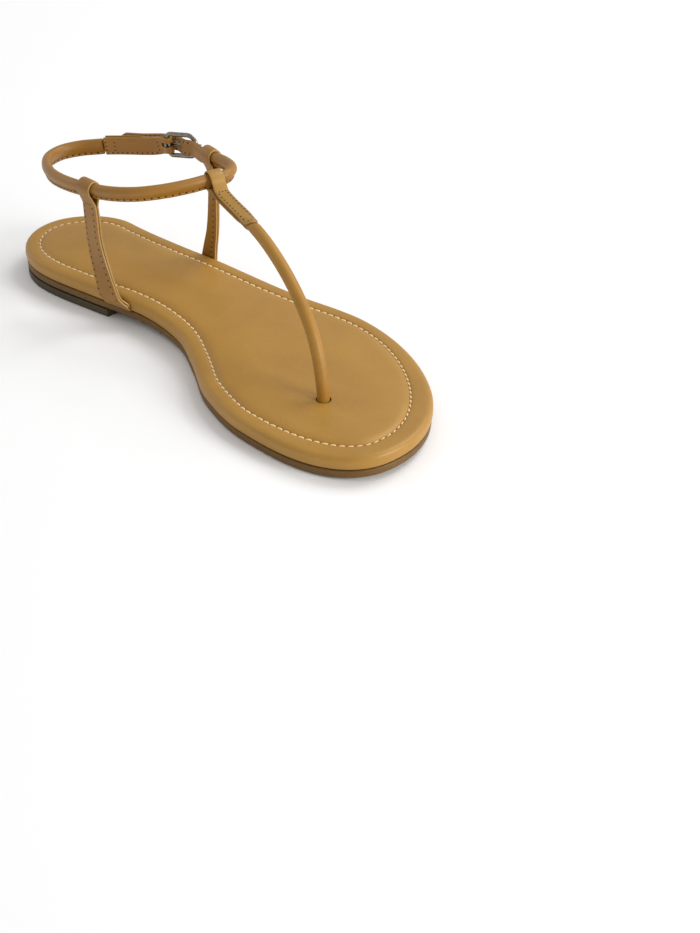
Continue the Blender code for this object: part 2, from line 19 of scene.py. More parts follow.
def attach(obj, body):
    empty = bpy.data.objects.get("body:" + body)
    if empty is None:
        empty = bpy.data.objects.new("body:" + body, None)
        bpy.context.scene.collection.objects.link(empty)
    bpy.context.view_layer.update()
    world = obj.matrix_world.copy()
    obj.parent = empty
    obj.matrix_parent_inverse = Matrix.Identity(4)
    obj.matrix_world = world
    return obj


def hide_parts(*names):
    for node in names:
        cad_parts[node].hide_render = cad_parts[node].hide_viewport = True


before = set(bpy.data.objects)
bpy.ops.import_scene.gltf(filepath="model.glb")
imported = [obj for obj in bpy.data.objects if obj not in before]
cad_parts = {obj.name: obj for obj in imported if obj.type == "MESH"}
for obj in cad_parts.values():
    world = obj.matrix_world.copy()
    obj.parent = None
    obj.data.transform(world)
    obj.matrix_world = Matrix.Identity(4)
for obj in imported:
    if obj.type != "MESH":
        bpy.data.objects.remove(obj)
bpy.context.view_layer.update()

MM = 0.001
PER_METRE = 1000.0
UP = Vector((0.0, 0.0, 1.0))
print("solids:", sorted(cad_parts))

# %% [markdown]
# ## The camera
#
# The picture was taken from the toe end, from the arch side and from above. A camera can be
# aimed by eye, but then the straps never quite lie where the picture has them, so its place
# and turn were solved from the shoe's own outline. A camera looks along its own -Z, so its
# matrix holds the picture's right, the picture's up and the way back to the lens.

# %% Camera
scene = bpy.context.scene
PICTURE_RIGHT = Vector((-0.72, 0.69382, 0.01076))
PICTURE_UP = Vector((-0.38942, -0.41685, 0.82123))
LENS_PLACE = Vector((417.94, 508.88, 388.14)) * MM
FOCAL_LENGTH = 87.68
camera_data = bpy.data.cameras.new("camera")
camera_data.sensor_fit = "HORIZONTAL"
camera_data.sensor_width = 36.0
camera_data.lens = FOCAL_LENGTH
camera_data.clip_start = 0.05
camera = bpy.data.objects.new("camera", camera_data)
turn = Matrix((PICTURE_RIGHT, PICTURE_UP, PICTURE_RIGHT.cross(PICTURE_UP))).transposed()
camera.matrix_world = Matrix.Translation(LENS_PLACE) @ turn.to_4x4()
scene.collection.objects.link(camera)
scene.camera = camera
print("camera", round(LENS_PLACE.length, 3), "m from the shoe's middle")

# %% [markdown]
# ## Colours, nodes and objects
#
# A colour is picked from a screen as an sRGB code, but light adds up in linear numbers, so
# one function turns the one into the other. A material is a tree of nodes. Written out one
# by one, each node takes several lines, so one function adds a node with its settings and
# links. Another puts a drawn mesh into the scene.

# %% Small helpers


def linear(hex_code):
    """An sRGB colour such as b28549 as linear red, green and blue with alpha."""
    channels = [int(hex_code[i:i + 2], 16) / 255 for i in (0, 2, 4)]
    return (*[c / 12.92 if c <= 0.04045 else ((c + 0.055) / 1.055)**2.4 for c in channels], 1.0)


def node(tree, kind, settings, inputs):
    """Adds a node; settings are its properties, inputs are numbers or outputs to link."""
    made = tree.nodes.new(kind)
    for key, value in settings.items():
        setattr(made, key, value)
    for key, value in inputs.items():
        if isinstance(value, bpy.types.Node):
            value = value.outputs[0]
        if isinstance(value, bpy.types.NodeSocket):
            tree.links.new(value, made.inputs[key])
        else:
            made.inputs[key].default_value = value
    return made


def new_material(name):
    """An empty material and its node tree."""
    material = bpy.data.materials.new(name)
    material.use_nodes = True
    material.node_tree.nodes.clear()
    return material, material.node_tree


def new_object(name, bm):
    """Puts a drawn mesh into the scene."""
    mesh = bpy.data.meshes.new(name)
    bm.to_mesh(mesh)
    bm.free()
    made = bpy.data.objects.new(name, mesh)
    scene.collection.objects.link(made)
    return made


print("mid grey 808080 is", round(linear("808080")[0], 3), "in linear light")

# %% [markdown]
# ## Floor and light
#
# A picture like this one is taken on a white paper sweep, under large soft boxes. The sweep
# could be a curved sheet, but from above only its flat part shows, so a big flat floor and
# an even white sky do the same. One broad lamp from the outer side gives the leather its
# soft gloss and the shoe its faint shadow. A second at the toe lights the near rim, and a
# weak third behind the heel rounds off the rolls.

# %% Floor
scene.view_settings.view_transform = "Standard"
scene.view_settings.look = "None"
FLOOR_HALF = 6.0
PAPER_CLOUD_MM = 400 / 3
bm = bmesh.new()
bmesh.ops.create_grid(bm, x_segments=2, y_segments=2, size=FLOOR_HALF)
floor = new_object("floor", bm)

# Matt white paper, pressed from pulp: rough, with clouds so faint that it reads as one white.
# The noise counts across the whole floor, so its scale is the number of clouds in that.
sweep_paper, tree = new_material("matt_white_paper_sweep")
clouds_across = 2 * FLOOR_HALF * PER_METRE / PAPER_CLOUD_MM
clouds = node(tree, "ShaderNodeTexNoise", {}, {"Scale": clouds_across, "Detail": 3.0})
shade = node(tree, "ShaderNodeMapRange", {}, {"Value": clouds, "To Min": 0.96, "To Max": 0.98})
paper = node(tree, "ShaderNodeBsdfPrincipled", {}, {"Base Color": shade, "Roughness": 0.9})
node(tree, "ShaderNodeOutputMaterial", {}, {"Surface": paper})
floor.data.materials.append(sweep_paper)
print("floor", 2 * FLOOR_HALF, "m wide")

# %% Sky and lamps
SKY_STRENGTH = 0.57
sky = bpy.data.worlds.new("white_studio")
scene.world = sky
sky.use_nodes = True
sky.node_tree.nodes["Background"].inputs["Color"].default_value = (1.0, 1.0, 1.0, 1.0)
sky.node_tree.nodes["Background"].inputs["Strength"].default_value = SKY_STRENGTH

# Places and sizes in metres, power in watts
Lamp = namedtuple("Lamp", "name place aim size power")
LAMPS = (
    Lamp("soft_box_key", (-0.9, 0.1, 1.15), (0.0, 0.0, 0.0), 0.8, 8.5),
    Lamp("soft_box_toe", (-0.42, 1.36, 0.5), (0.0, 0.0, 0.03), 0.5, 13.0),
    Lamp("soft_box_behind", (0.35, -1.2, 0.6), (0.0, 0.0, 0.03), 0.5, 1.5),
)
for lamp in LAMPS:
    data = bpy.data.lights.new(lamp.name, "AREA")
    data.size = lamp.size
    data.energy = lamp.power
    light = bpy.data.objects.new(lamp.name, data)
    light.location = lamp.place
    towards = Vector(lamp.aim) - Vector(lamp.place)
    light.rotation_euler = towards.to_track_quat("-Z", "Y").to_euler()
    scene.collection.objects.link(light)
print("lamps:", [lamp.name for lamp in LAMPS])

# %% [markdown]
# ## Needle holes
#
# Every seam shows a row of dark needle holes. They could be drilled into the mesh, but a
# hole is under a millimetre wide and there are hundreds. So each pit is painted: its deep
# brown is painted shade, the shadow inside the hole. Instead of holes, each mesh carries numbers
# for its points: run, the distance along the strap, over, the place across it, near_a and
# near_b, the distances from its two long edges, and edge, 1 on a cut edge. A row names the
# number that it keeps to, at which level, and the number that it steps along.

# %% Rows of needle pits
PIT_RADIUS = 0.42
Row = namedtuple("Row", "line level ahead start end pitch")


def pits(tree, rows, radius):
    """Needle pits for each row: 1 in a pit and 0 outside."""
    total = 0.0
    for row in rows:
        line = node(tree, "ShaderNodeAttribute", {"attribute_name": row.line}, {}).outputs["Fac"]
        ahead = node(tree, "ShaderNodeAttribute", {"attribute_name": row.ahead}, {}).outputs["Fac"]
        offset = node(tree, "ShaderNodeMath", {"operation": "SUBTRACT"}, {0: line, 1: row.level})
        train = node(tree, "ShaderNodeMath", {"operation": "WRAP"},
                     {0: ahead, 1: row.pitch / 2, 2: -row.pitch / 2})
        flat = node(tree, "ShaderNodeCombineXYZ", {}, {0: offset, 1: train})
        gap = node(tree, "ShaderNodeVectorMath", {"operation": "LENGTH"}, {0: flat})
        dot = node(tree, "ShaderNodeMapRange", {"interpolation_type": "SMOOTHSTEP"},
                   {"Value": gap.outputs["Value"], "From Min": radius * 1.4,
                    "From Max": radius * 0.5})
        middle, reach = (row.start + row.end) / 2, (row.end - row.start) / 2
        inside = node(tree, "ShaderNodeMath", {"operation": "COMPARE"},
                      {0: ahead, 1: middle, 2: reach})
        shown = node(tree, "ShaderNodeMath", {"operation": "MULTIPLY"}, {0: dot, 1: inside})
        total = node(tree, "ShaderNodeMath", {"operation": "MAXIMUM"}, {0: total, 1: shown})
    return total


print("needle pits", 2 * PIT_RADIUS, "mm wide")

# %% [markdown]
# ## Calf leather
#
# The upper and the insole are smooth calf: vegetable tanned, dyed tan, with a thin wax
# finish. A flat colour would look like plastic. Real calf has pores and creases about
# 0.5 mm apart. At this picture's scale a pixel is 0.45 mm, so the grain is drawn at 0.9 mm
# to show at all. Over it lies slow mottling of the dye, about 20 mm across. The wax is a
# thin coat over the dye, and it stops at the needle pits, which would shine grey otherwise.

# %% Calf
GRAIN_MM = 0.9
PORE_MM = GRAIN_MM / 1.6
MOTTLE_MM = 22.0
GRAIN_DEPTH = 0.05 * MM
PIT_DEPTH = 2.0
# Deep brown of the pits: painted shade, the shadow inside a needle hole
PIT_SHADE = "24150a"
CALF_IOR = 1.5
CALF_SPECULAR = 0.5
WAX_ROUGHNESS = 0.3


def calf(name, light, dark, roughness, edge=None, rows=(), pit_radius=PIT_RADIUS, wax=0.14):
    """Smooth finished calf in two tans, with a colour for cut edges and rows of needle pits."""
    material, tree = new_material(name)
    place = node(tree, "ShaderNodeTexCoord", {}, {}).outputs["Object"]
    mottle = node(tree, "ShaderNodeTexNoise", {},
                  {"Vector": place, "Scale": PER_METRE / MOTTLE_MM, "Detail": 5.0,
                   "Roughness": 0.55})
    grain = node(tree, "ShaderNodeTexVoronoi", {"feature": "DISTANCE_TO_EDGE"},
                 {"Vector": place, "Scale": PER_METRE / GRAIN_MM, "Randomness": 1.0})
    pores = node(tree, "ShaderNodeTexNoise", {},
                 {"Vector": place, "Scale": PER_METRE / PORE_MM, "Detail": 3.0})
    spread = node(tree, "ShaderNodeMapRange", {},
                  {"Value": mottle, "From Min": 0.3, "From Max": 0.7})
    dye = node(tree, "ShaderNodeMix", {"data_type": "RGBA"},
               {"Factor": spread, 6: linear(dark), 7: linear(light)})
    fine = node(tree, "ShaderNodeMapRange", {},
                {"Value": pores, "From Min": 0.25, "From Max": 0.75, "To Min": 0.9,
                 "To Max": 1.06})
    colour = node(tree, "ShaderNodeVectorMath", {"operation": "SCALE"},
                  {0: dye.outputs[2], "Scale": fine}).outputs[0]
    cells = node(tree, "ShaderNodeMapRange", {},
                 {"Value": grain, "From Min": 0.0, "From Max": 0.25})
    height = node(tree, "ShaderNodeMath", {"operation": "ADD"}, {0: cells, 1: pores})
    coat, specular = wax, CALF_SPECULAR
    if edge:
        near_edge = node(tree, "ShaderNodeAttribute", {"attribute_name": "edge"}, {}).outputs["Fac"]
        colour = node(tree, "ShaderNodeMix", {"data_type": "RGBA"},
                      {"Factor": near_edge, 6: colour, 7: linear(edge)}).outputs[2]
    if rows:
        holes = pits(tree, rows, pit_radius)
        whole = node(tree, "ShaderNodeMath", {"operation": "SUBTRACT"}, {0: 1.0, 1: holes})
        coat = node(tree, "ShaderNodeMath", {"operation": "MULTIPLY"}, {0: whole, 1: wax})
        specular = node(tree, "ShaderNodeMath", {"operation": "MULTIPLY"},
                        {0: whole, 1: CALF_SPECULAR})
        # Each pit takes a deep brown, painted shade for the shadow inside its hole
        colour = node(tree, "ShaderNodeMix", {"data_type": "RGBA"},
                      {"Factor": holes, 6: colour, 7: linear(PIT_SHADE)}).outputs[2]
        height = node(tree, "ShaderNodeMath", {"operation": "MULTIPLY_ADD"},
                      {0: holes, 1: -PIT_DEPTH, 2: height})
    bump = node(tree, "ShaderNodeBump", {},
                {"Height": height, "Strength": 0.28, "Distance": GRAIN_DEPTH})
    shine = node(tree, "ShaderNodeMapRange", {},
                 {"Value": mottle, "To Min": roughness - 0.06, "To Max": roughness + 0.06})
    leather = node(tree, "ShaderNodeBsdfPrincipled", {},
                   {"Base Color": colour, "Roughness": shine, "IOR": CALF_IOR, "Normal": bump,
                    "Specular IOR Level": specular, "Coat Weight": coat,
                    "Coat Roughness": WAX_ROUGHNESS})
    node(tree, "ShaderNodeOutputMaterial", {}, {"Surface": leather})
    return material


print("grain", GRAIN_MM, "mm, mottling", MOTTLE_MM, "mm")

# %% [markdown]
# ## Curves and skins
#
# Every piece of this shoe is a strip or a slab that follows a line. They could be pushed
# into shape by hand, but then a seam would not know where it lies. So a few small tools do
# the work: a smooth curve through measured values, the direction and steps along it, and a
# skin over a row of equal rings.

# %% Curves through measured values
CLOSE = 0.01


def smooth_step(t):
    """Eases from 0 to 1 with level ends."""
    t = min(max(t, 0.0), 1.0)
    return t * t * (3 - 2 * t)


def hermite(knots, values, t, level_ends=False):
    """Smooth curve through values at rising knots; values are numbers or vectors."""
    last = len(knots) - 1
    i = 0
    while i < last - 1 and t > knots[i + 1]:
        i += 1

    def slope(k):
        """Slope at a knot: that of the straight line between its two neighbours."""
        if level_ends and k in (0, last):
            return values[k] * 0.0
        low, high = max(k - 1, 0), min(k + 1, last)
        return (values[high] - values[low]) * (1.0 / (knots[high] - knots[low]))

    span = knots[i + 1] - knots[i]
    u = (t - knots[i]) / span
    start, end = values[i], values[i + 1]
    return (start * (2 * u**3 - 3 * u**2 + 1) + slope(i) * (span * (u**3 - 2 * u**2 + u))
            + end * (3 * u**2 - 2 * u**3) + slope(i + 1) * (span * (u**3 - u**2)))


def chord_knots(places):
    """Distance along a row of places, measured straight from each to the next."""
    knots = [0.0]
    for a, b in zip(places, places[1:]):
        knots.append(knots[-1] + (b - a).length)
    return knots


def steps_along(knots, step):
    """Distances about a step apart, with every knot among them."""
    marks = []
    for a, b in zip(knots, knots[1:]):
        pieces = max(1, round((b - a) / step))
        marks += [a + (b - a) * k / pieces for k in range(pieces)]
    return marks + [knots[-1]]


def heading(knots, places, t):
    """Direction ahead along the curve through places, from two points close together."""
    return (hermite(knots, places, min(t + CLOSE, knots[-1]))
            - hermite(knots, places, max(t - CLOSE, 0.0))).normalized()


print("halfway between 0 and 1 the ease is at", smooth_step(0.5))

# %% Skins
SHARP_TURN = math.radians(50.0)


def soften(mesh):
    """Smooth shading, with a hard line only where two faces turn sharply."""
    mesh.shade_smooth()
    mesh.set_sharp_from_angle(angle=SHARP_TURN)


def finish_mesh(name, verts, faces, numbers):
    """An object from places in millimetres; numbers are kept for its points by name."""
    mesh = bpy.data.meshes.new(name)
    mesh.from_pydata([v * MM for v in verts], [], faces)
    for key, values in numbers.items():
        mesh.attributes.new(key, "FLOAT", "POINT").data.foreach_set("value", values)
    bm = bmesh.new()
    bm.from_mesh(mesh)
    bmesh.ops.recalc_face_normals(bm, faces=bm.faces)
    bm.to_mesh(mesh)
    bm.free()
    soften(mesh)
    piece = bpy.data.objects.new(name, mesh)
    scene.collection.objects.link(piece)
    return piece


def band(first, second, count):
    """Faces between two equal rings that start at two point numbers."""
    return [(first + i, first + (i + 1) % count, second + (i + 1) % count, second + i)
            for i in range(count)]


def skin(name, rings, numbers, closed=False):
    """Covers a row of equal rings; numbers[key] holds a list for each ring."""
    count = len(rings[0])
    verts = [point for ring in rings for point in ring]
    starts = [k * count for k in range(len(rings))]
    faces = [face for low, high in zip(starts, starts[1:]) for face in band(low, high, count)]
    if closed:
        faces += band(starts[-1], starts[0], count)
    else:
        faces += [tuple(range(start, start + count)) for start in (starts[0], starts[-1])]
    flat = {key: [value for ring in lists for value in ring] for key, lists in numbers.items()}
    return finish_mesh(name, verts, faces, flat)


def dress(piece, material, solid, stands_in=True):
    """Gives a piece its material, hangs it from the root body, and hides the solid that it stands
    in for, if it stands in for one.
    """
    piece.data.materials.clear()
    piece.data.materials.append(material)
    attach(piece, "root")
    if stands_in:
        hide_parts(solid)
    print(piece.name, len(piece.data.polygons), "faces")


print("edges sharper than", round(math.degrees(SHARP_TURN)), "degrees stay hard")

# %% [markdown]
# ## The sole's outline
#
# One outline serves the heel lift, the outsole and the insole. It could be a drawn curve
# with handles, but a few measured widths are easier to check. Each side is a smooth curve
# through them, and the heel and toe are rounded off by a power curve, which is how a
# last's outline turns: fuller than a circle at the toe.

# %% Outline of the sole
TOE_Y = 125.6
HEEL_Y = -125.0
HEEL_RISE = 4.1
HEEL_LEVEL_Y = -50.0
FOREFOOT_Y = 18.0
ROLL_UP_Y = 86.0
TOE_SPRING = 2.4
HEEL_TIP_X = 3.0
TOE_TIP_X = 14.3
HEEL_ROUND_Y = -97.0
TOE_ROUND_Y = 66.0
TOE_RIM_Y = 55.0
HEEL_STEPS = 18
MIDDLE_STEPS = 64
TOE_STEPS = 24
Side = namedtuple("Side", "rows heel_power toe_power")
Edge = namedtuple("Edge", "y x")
OUTER_SIDE = Side(
    rows=(Edge(-97, -25.7), Edge(-62, -28.5), Edge(-27, -34.1), Edge(3, -40.4),
          Edge(25, -45.5), Edge(42, -47.5)),
    heel_power=1.85, toe_power=1.9)
ARCH_SIDE = Side(
    rows=(Edge(-93, 31.9), Edge(-60, 27.2), Edge(-28, 20.5), Edge(-5, 21.5),
          Edge(14, 29.6), Edge(36, 41.2), Edge(66, 47.3)),
    heel_power=2.05, toe_power=2.5)


def side_x(side, y):
    """How far a side of the sole stands from the middle line."""
    first, last = side.rows[0], side.rows[-1]
    if first.y <= y <= last.y:
        return hermite([row.y for row in side.rows], [row.x for row in side.rows], y, True)
    start, tip_y, tip_x, power = ((first, HEEL_Y, HEEL_TIP_X, side.heel_power) if y < first.y
                                  else (last, TOE_Y, TOE_TIP_X, side.toe_power))
    u = min((y - start.y) / (tip_y - start.y), 1.0)
    return tip_x + (start.x - tip_x) * (1 - u**power)**(1 / power)


def stations(last_y=None):
    """Places along the foot, closer together round the heel and the toe."""
    quarter = math.pi / 2
    places = [HEEL_ROUND_Y + (HEEL_Y - HEEL_ROUND_Y) * math.sin(quarter * k / HEEL_STEPS)
              for k in range(HEEL_STEPS - 1, 0, -1)]
    places += [HEEL_ROUND_Y + (TOE_ROUND_Y - HEEL_ROUND_Y) * k / MIDDLE_STEPS
               for k in range(MIDDLE_STEPS + 1)]
    places += [TOE_ROUND_Y + (TOE_Y - TOE_ROUND_Y) * math.sin(quarter * k / TOE_STEPS)
               for k in range(1, TOE_STEPS)]
    return places if last_y is None else [y for y in places if y < last_y - 1] + [last_y]


def outline(inset, toe_inset, places, has_toe=True):
    """The outline moved in by inset, and further at the toe; heel tip, arch side, outer side."""
    ring = [Vector((HEEL_TIP_X, HEEL_Y))]
    ring += [Vector((side_x(ARCH_SIDE, y), y)) for y in places]
    if has_toe:
        ring.append(Vector((TOE_TIP_X, TOE_Y)))
    ring += [Vector((side_x(OUTER_SIDE, y), y)) for y in reversed(places)]
    moved = []
    for i, point in enumerate(ring):
        across = ring[(i + 1) % len(ring)] - ring[i - 1]
        if not has_toe and i in (len(places), len(places) + 1):
            across = Vector((0.0, 1.0 if i == len(places) else -1.0))
        depth = inset + toe_inset * smooth_step((point.y - TOE_RIM_Y) / (TOE_Y - TOE_RIM_Y))
        moved.append(point + Vector((-across.y, across.x)).normalized() * depth)
    return moved


def rise(y):
    """Height of the outsole's underside: level heel, flat forefoot, slight toe spring."""
    if y < FOREFOOT_Y:
        return HEEL_RISE * (1 - smooth_step((y - HEEL_LEVEL_Y) / (FOREFOOT_Y - HEEL_LEVEL_Y)))
    if y > ROLL_UP_Y:
        return TOE_SPRING * ((y - ROLL_UP_Y) / (TOE_Y - ROLL_UP_Y))**2
    return 0.0


print("sole", TOE_Y - HEEL_Y, "mm long")

# %% [markdown]
# ## Slabs
#
# Insole, outsole and lift are slabs: the outline stacked in layers, each moved in a little.
# A bevel would round all edges alike, but a wrapped rim, a groove and a cut edge each need
# their own profile. Only the top is a grid from side to side, so that it can be crowned and
# dimpled.

# %% Slab builder
Layer = namedtuple("Layer", "inset height toe_inset", defaults=(0.0,))


def rounded(layers, steps):
    """The layers read as a smooth curve, for an edge that leather is drawn over."""
    points = [Vector((row.inset, row.height, row.toe_inset)) for row in layers]
    knots = chord_knots([Vector((p.x, p.y, 0.0)) for p in points])
    return [Layer(*hermite(knots, points, knots[-1] * k / steps)) for k in range(steps + 1)]


def slab(name, layers, base, follow, places, has_toe=True, columns=1, top=None):
    """Stacks moved-in outlines; top(x, y) adds height to the upper half of the layers."""
    verts, faces = [], []
    for layer in layers:
        for p in outline(layer.inset, layer.toe_inset, places, has_toe):
            verts.append(Vector((p.x, p.y, follow(p.y) + base + layer.height)))
    count = len(verts) // len(layers)
    for k in range(len(layers) - 1):
        faces += band(k * count, (k + 1) * count, count)

    def close(start, inner):
        """Closes a ring with strips from side to side, each in several columns."""
        rows = []
        for i in range(1, len(places) + 1):
            right, left = start + i, start + count - i
            row = [right]
            for j in range(1, inner):
                verts.append(verts[right].lerp(verts[left], j / inner))
                row.append(len(verts) - 1)
            rows.append(row + [left])
        faces.extend((start, a, b) for a, b in zip(rows[0], rows[0][1:]))
        for low, high in zip(rows, rows[1:]):
            faces.extend((low[j], low[j + 1], high[j + 1], high[j]) for j in range(inner))
        if has_toe:
            tip = start + len(places) + 1
            faces.extend((tip, b, a) for a, b in zip(rows[-1], rows[-1][1:]))

    close(0, 1)
    close((len(layers) - 1) * count, columns)
    if top:
        for index in range(len(layers) // 2 * count, len(verts)):
            verts[index].z += top(verts[index].x, verts[index].y)
    return finish_mesh(name, verts, faces, {})


print(len(stations()), "stations along the sole")

# %% [markdown]
# ## Insole
#
# The insole is a padded board wrapped in calf. The leather is drawn down over the edge and
# a row of long cream stitches, set in from the rim, pulls it into a soft groove; inside
# that row the padding swells again. A cloth simulation could blow the padding up, but this
# pad is firm and thin, and the remesh before it would lose the groove. So it is one smooth
# slab with that profile and a low crown, cut by the toe hole, where the punch has pressed
# the leather down a little. The side straps' feet go into a recess on each side.

# %% Insole
INSOLE_BASE = 3.9
INSOLE_STEPS = 54
INSOLE_COLUMNS = 28
TOE_HOLE = Vector((12.9, 78.8, 0.0))
TOE_HOLE_RADIUS = 3.25
DIMPLE_DEPTH = 0.5
DIMPLE_WIDTH = 4.2
PAD_CROWN = 0.45
PAD_START = 15.0
PAD_EASE = 14.0
WIDER_TOE_RIM = 3.0
INSOLE_LAYERS = (Layer(1.2, 0.0), Layer(0.5, 0.5), Layer(0.1, 1.6), Layer(0.0, 3.2),
                 Layer(0.15, 4.6), Layer(0.8, 5.6), Layer(1.9, 6.2), Layer(3.6, 6.4, 0.6),
                 Layer(6.3, 6.15, 2.8), Layer(7.0, 5.3, 2.8), Layer(7.8, 6.15, 2.8),
                 Layer(9.6, 6.85, 2.8), Layer(11.6, 7.13, 2.8), Layer(13.6, 7.25, 2.8),
                 Layer(15.6, 7.3, 2.8))


def pad_top(x, y):
    """Crown of the padding, and the dimple that the toe strap pulls into it."""
    crown = PAD_CROWN
    for room in (side_x(ARCH_SIDE, y) - x, x - side_x(OUTER_SIDE, y),
                 TOE_Y - y - WIDER_TOE_RIM, y - HEEL_Y):
        crown *= smooth_step((room - PAD_START) / PAD_EASE)
    gap = math.hypot(x - TOE_HOLE.x, y - TOE_HOLE.y)
    return crown - DIMPLE_DEPTH * math.exp(-(gap / DIMPLE_WIDTH)**2)


insole = slab("insole_cover", rounded(INSOLE_LAYERS, INSOLE_STEPS), INSOLE_BASE, rise, stations(),
              columns=INSOLE_COLUMNS, top=pad_top)
print(len(insole.data.polygons), "faces before the cuts")

# %% Holes and recesses of the insole
# The least room between two pieces that lie on each other
GAP = 0.3
PUNCH_LONG = 60.0
PUNCH_SIDES = 48
FOOT_TUCK = 8.0
RECESS_TALL = 3.3
RECESS_EASE = 0.5
SideFoot = namedtuple("SideFoot", "side outward y width")
ARCH_FOOT = SideFoot(ARCH_SIDE, 1.0, -44.5, 13.5)
OUTER_FOOT = SideFoot(OUTER_SIDE, -1.0, -47.0, 8.4)


def cut_out(piece, name, bm, matrix):
    """Takes a cutter, drawn in millimetres and placed by a matrix, out of a piece for good."""
    bmesh.ops.transform(bm, matrix=matrix, verts=bm.verts)
    bmesh.ops.scale(bm, vec=(MM, MM, MM), verts=bm.verts)
    cutter = new_object(name, bm)
    boolean = piece.modifiers.new("cut", "BOOLEAN")
    boolean.solver = "EXACT"
    boolean.object = cutter
    bpy.context.view_layer.update()
    shaped = bpy.data.meshes.new_from_object(
        piece.evaluated_get(bpy.context.evaluated_depsgraph_get()))
    piece.modifiers.clear()
    piece.data = shaped
    bpy.data.objects.remove(cutter)
    soften(shaped)


def box(size):
    """A box round the middle, for cutting."""
    bm = bmesh.new()
    bmesh.ops.create_cube(bm, size=1.0)
    bmesh.ops.scale(bm, vec=size, verts=bm.verts)
    return bm


def axes_matrix(x_axis, y_axis, z_axis, place):
    """Turns a shape's own axes to these three and takes it to a place."""
    matrix = Matrix((x_axis, y_axis, z_axis)).transposed().to_4x4()
    matrix.translation = place
    return matrix


def foot_axes(foot):
    """Where a strap's foot goes in: the wall's place, the way out of it, and its slant."""
    wall = Vector((side_x(foot.side, foot.y), foot.y, 0.0))
    skew = (side_x(foot.side, foot.y + 1) - side_x(foot.side, foot.y - 1)) / 2
    away = Vector((foot.outward, -skew * foot.outward, 0.0)).normalized()
    return wall, away, skew


punch = bmesh.new()
bmesh.ops.create_cone(punch, cap_ends=True, segments=PUNCH_SIDES, depth=PUNCH_LONG,
                      radius1=TOE_HOLE_RADIUS, radius2=TOE_HOLE_RADIUS)
cut_out(insole, "toe_punch", punch, Matrix.Translation(TOE_HOLE))
for foot in (ARCH_FOOT, OUTER_FOOT):
    wall, away, _ = foot_axes(foot)
    size = ((FOOT_TUCK + GAP) * 2, foot.width + RECESS_EASE, RECESS_TALL * 2)
    seat = wall + UP * (rise(foot.y) + INSOLE_BASE)
    cut_out(insole, "recess", box(size), axes_matrix(away, UP.cross(away), UP, seat))

# Light tan calf with less wax than the straps: the tread stays matt, with a soft mottle
INSOLE_CALF = calf("tan_calf_wax_finished_insole", "b0822f", "a6792a", 0.48, wax=0.08)
dress(insole, INSOLE_CALF, "insole")

# %% [markdown]
# ## Stitches
#
# A stitch is a short length of waxed thread: it rises out of one needle hole, lies on the
# leather and dips into the next. A bump could paint it on, but the cream rim stitches are
# thick enough to cast shadows. So each one is a bent capsule with its ends below the
# surface. Lock stitches lean a little, because the thread passes its neighbour in the
# hole, and no two are quite alike.

# %% Thread
PLIES = 3
PLY_TWIST = 4.2
THREAD_RELIEF = 0.05 * MM


def thread_material(name, colour, dark, roughness):
    """Waxed polyester thread: its strands lie in fine slanted bands, with a little sheen; the
    darker part of each band is painted shade in the groove between two strands.
    """
    material, tree = new_material(name)
    twist = node(tree, "ShaderNodeAttribute", {"attribute_name": "twist"}, {}).outputs["Fac"]
    ply = node(tree, "ShaderNodeMath", {"operation": "SINE"}, {0: twist})
    share = node(tree, "ShaderNodeMapRange", {}, {"Value": ply, "From Min": -1.0})
    # The darker colour lies where the bump is lowest: painted shade between the strands
    ply_colour_and_shade = node(tree, "ShaderNodeMix", {"data_type": "RGBA"},
                 {"Factor": share, 6: linear(dark), 7: linear(colour)})
    bump = node(tree, "ShaderNodeBump", {},
                {"Height": ply, "Strength": 0.5, "Distance": THREAD_RELIEF})
    thread = node(tree, "ShaderNodeBsdfPrincipled", {},
                  {"Base Color": ply_colour_and_shade.outputs[2], "Roughness": roughness, "Normal": bump,
                   "Sheen Weight": 0.2})
    node(tree, "ShaderNodeOutputMaterial", {}, {"Surface": thread})
    return material


# The rim's thick thread is a pale cream that stands out from the tan
# Its darker cream is painted shade between the strands
CREAM_THREAD = thread_material("cream_waxed_polyester_thread", "fbe0ab", "e9c78c", 0.6)
# The straps' fine thread is tan and sinks into the leather's colour
# Its darker tan is painted shade between the strands
TAN_THREAD = thread_material("tan_waxed_polyester_thread", "b88c48", "9c7434", 0.55)
print("threads:", CREAM_THREAD.name, TAN_THREAD.name)

# %% Stitch builder
TILT_VARIES = 2.5
SHORTEST = 0.93
LONGEST = 1.05
Stitch = namedtuple("Stitch", "middle ahead up long")
Seam = namedtuple("Seam", "material thick lift lean sides")
RIM_SEAM = Seam(CREAM_THREAD, 0.8, 0.36, 11.0, 8)
FINE_SEAM = Seam(TAN_THREAD, 0.42, 0.05, 0.0, 6)


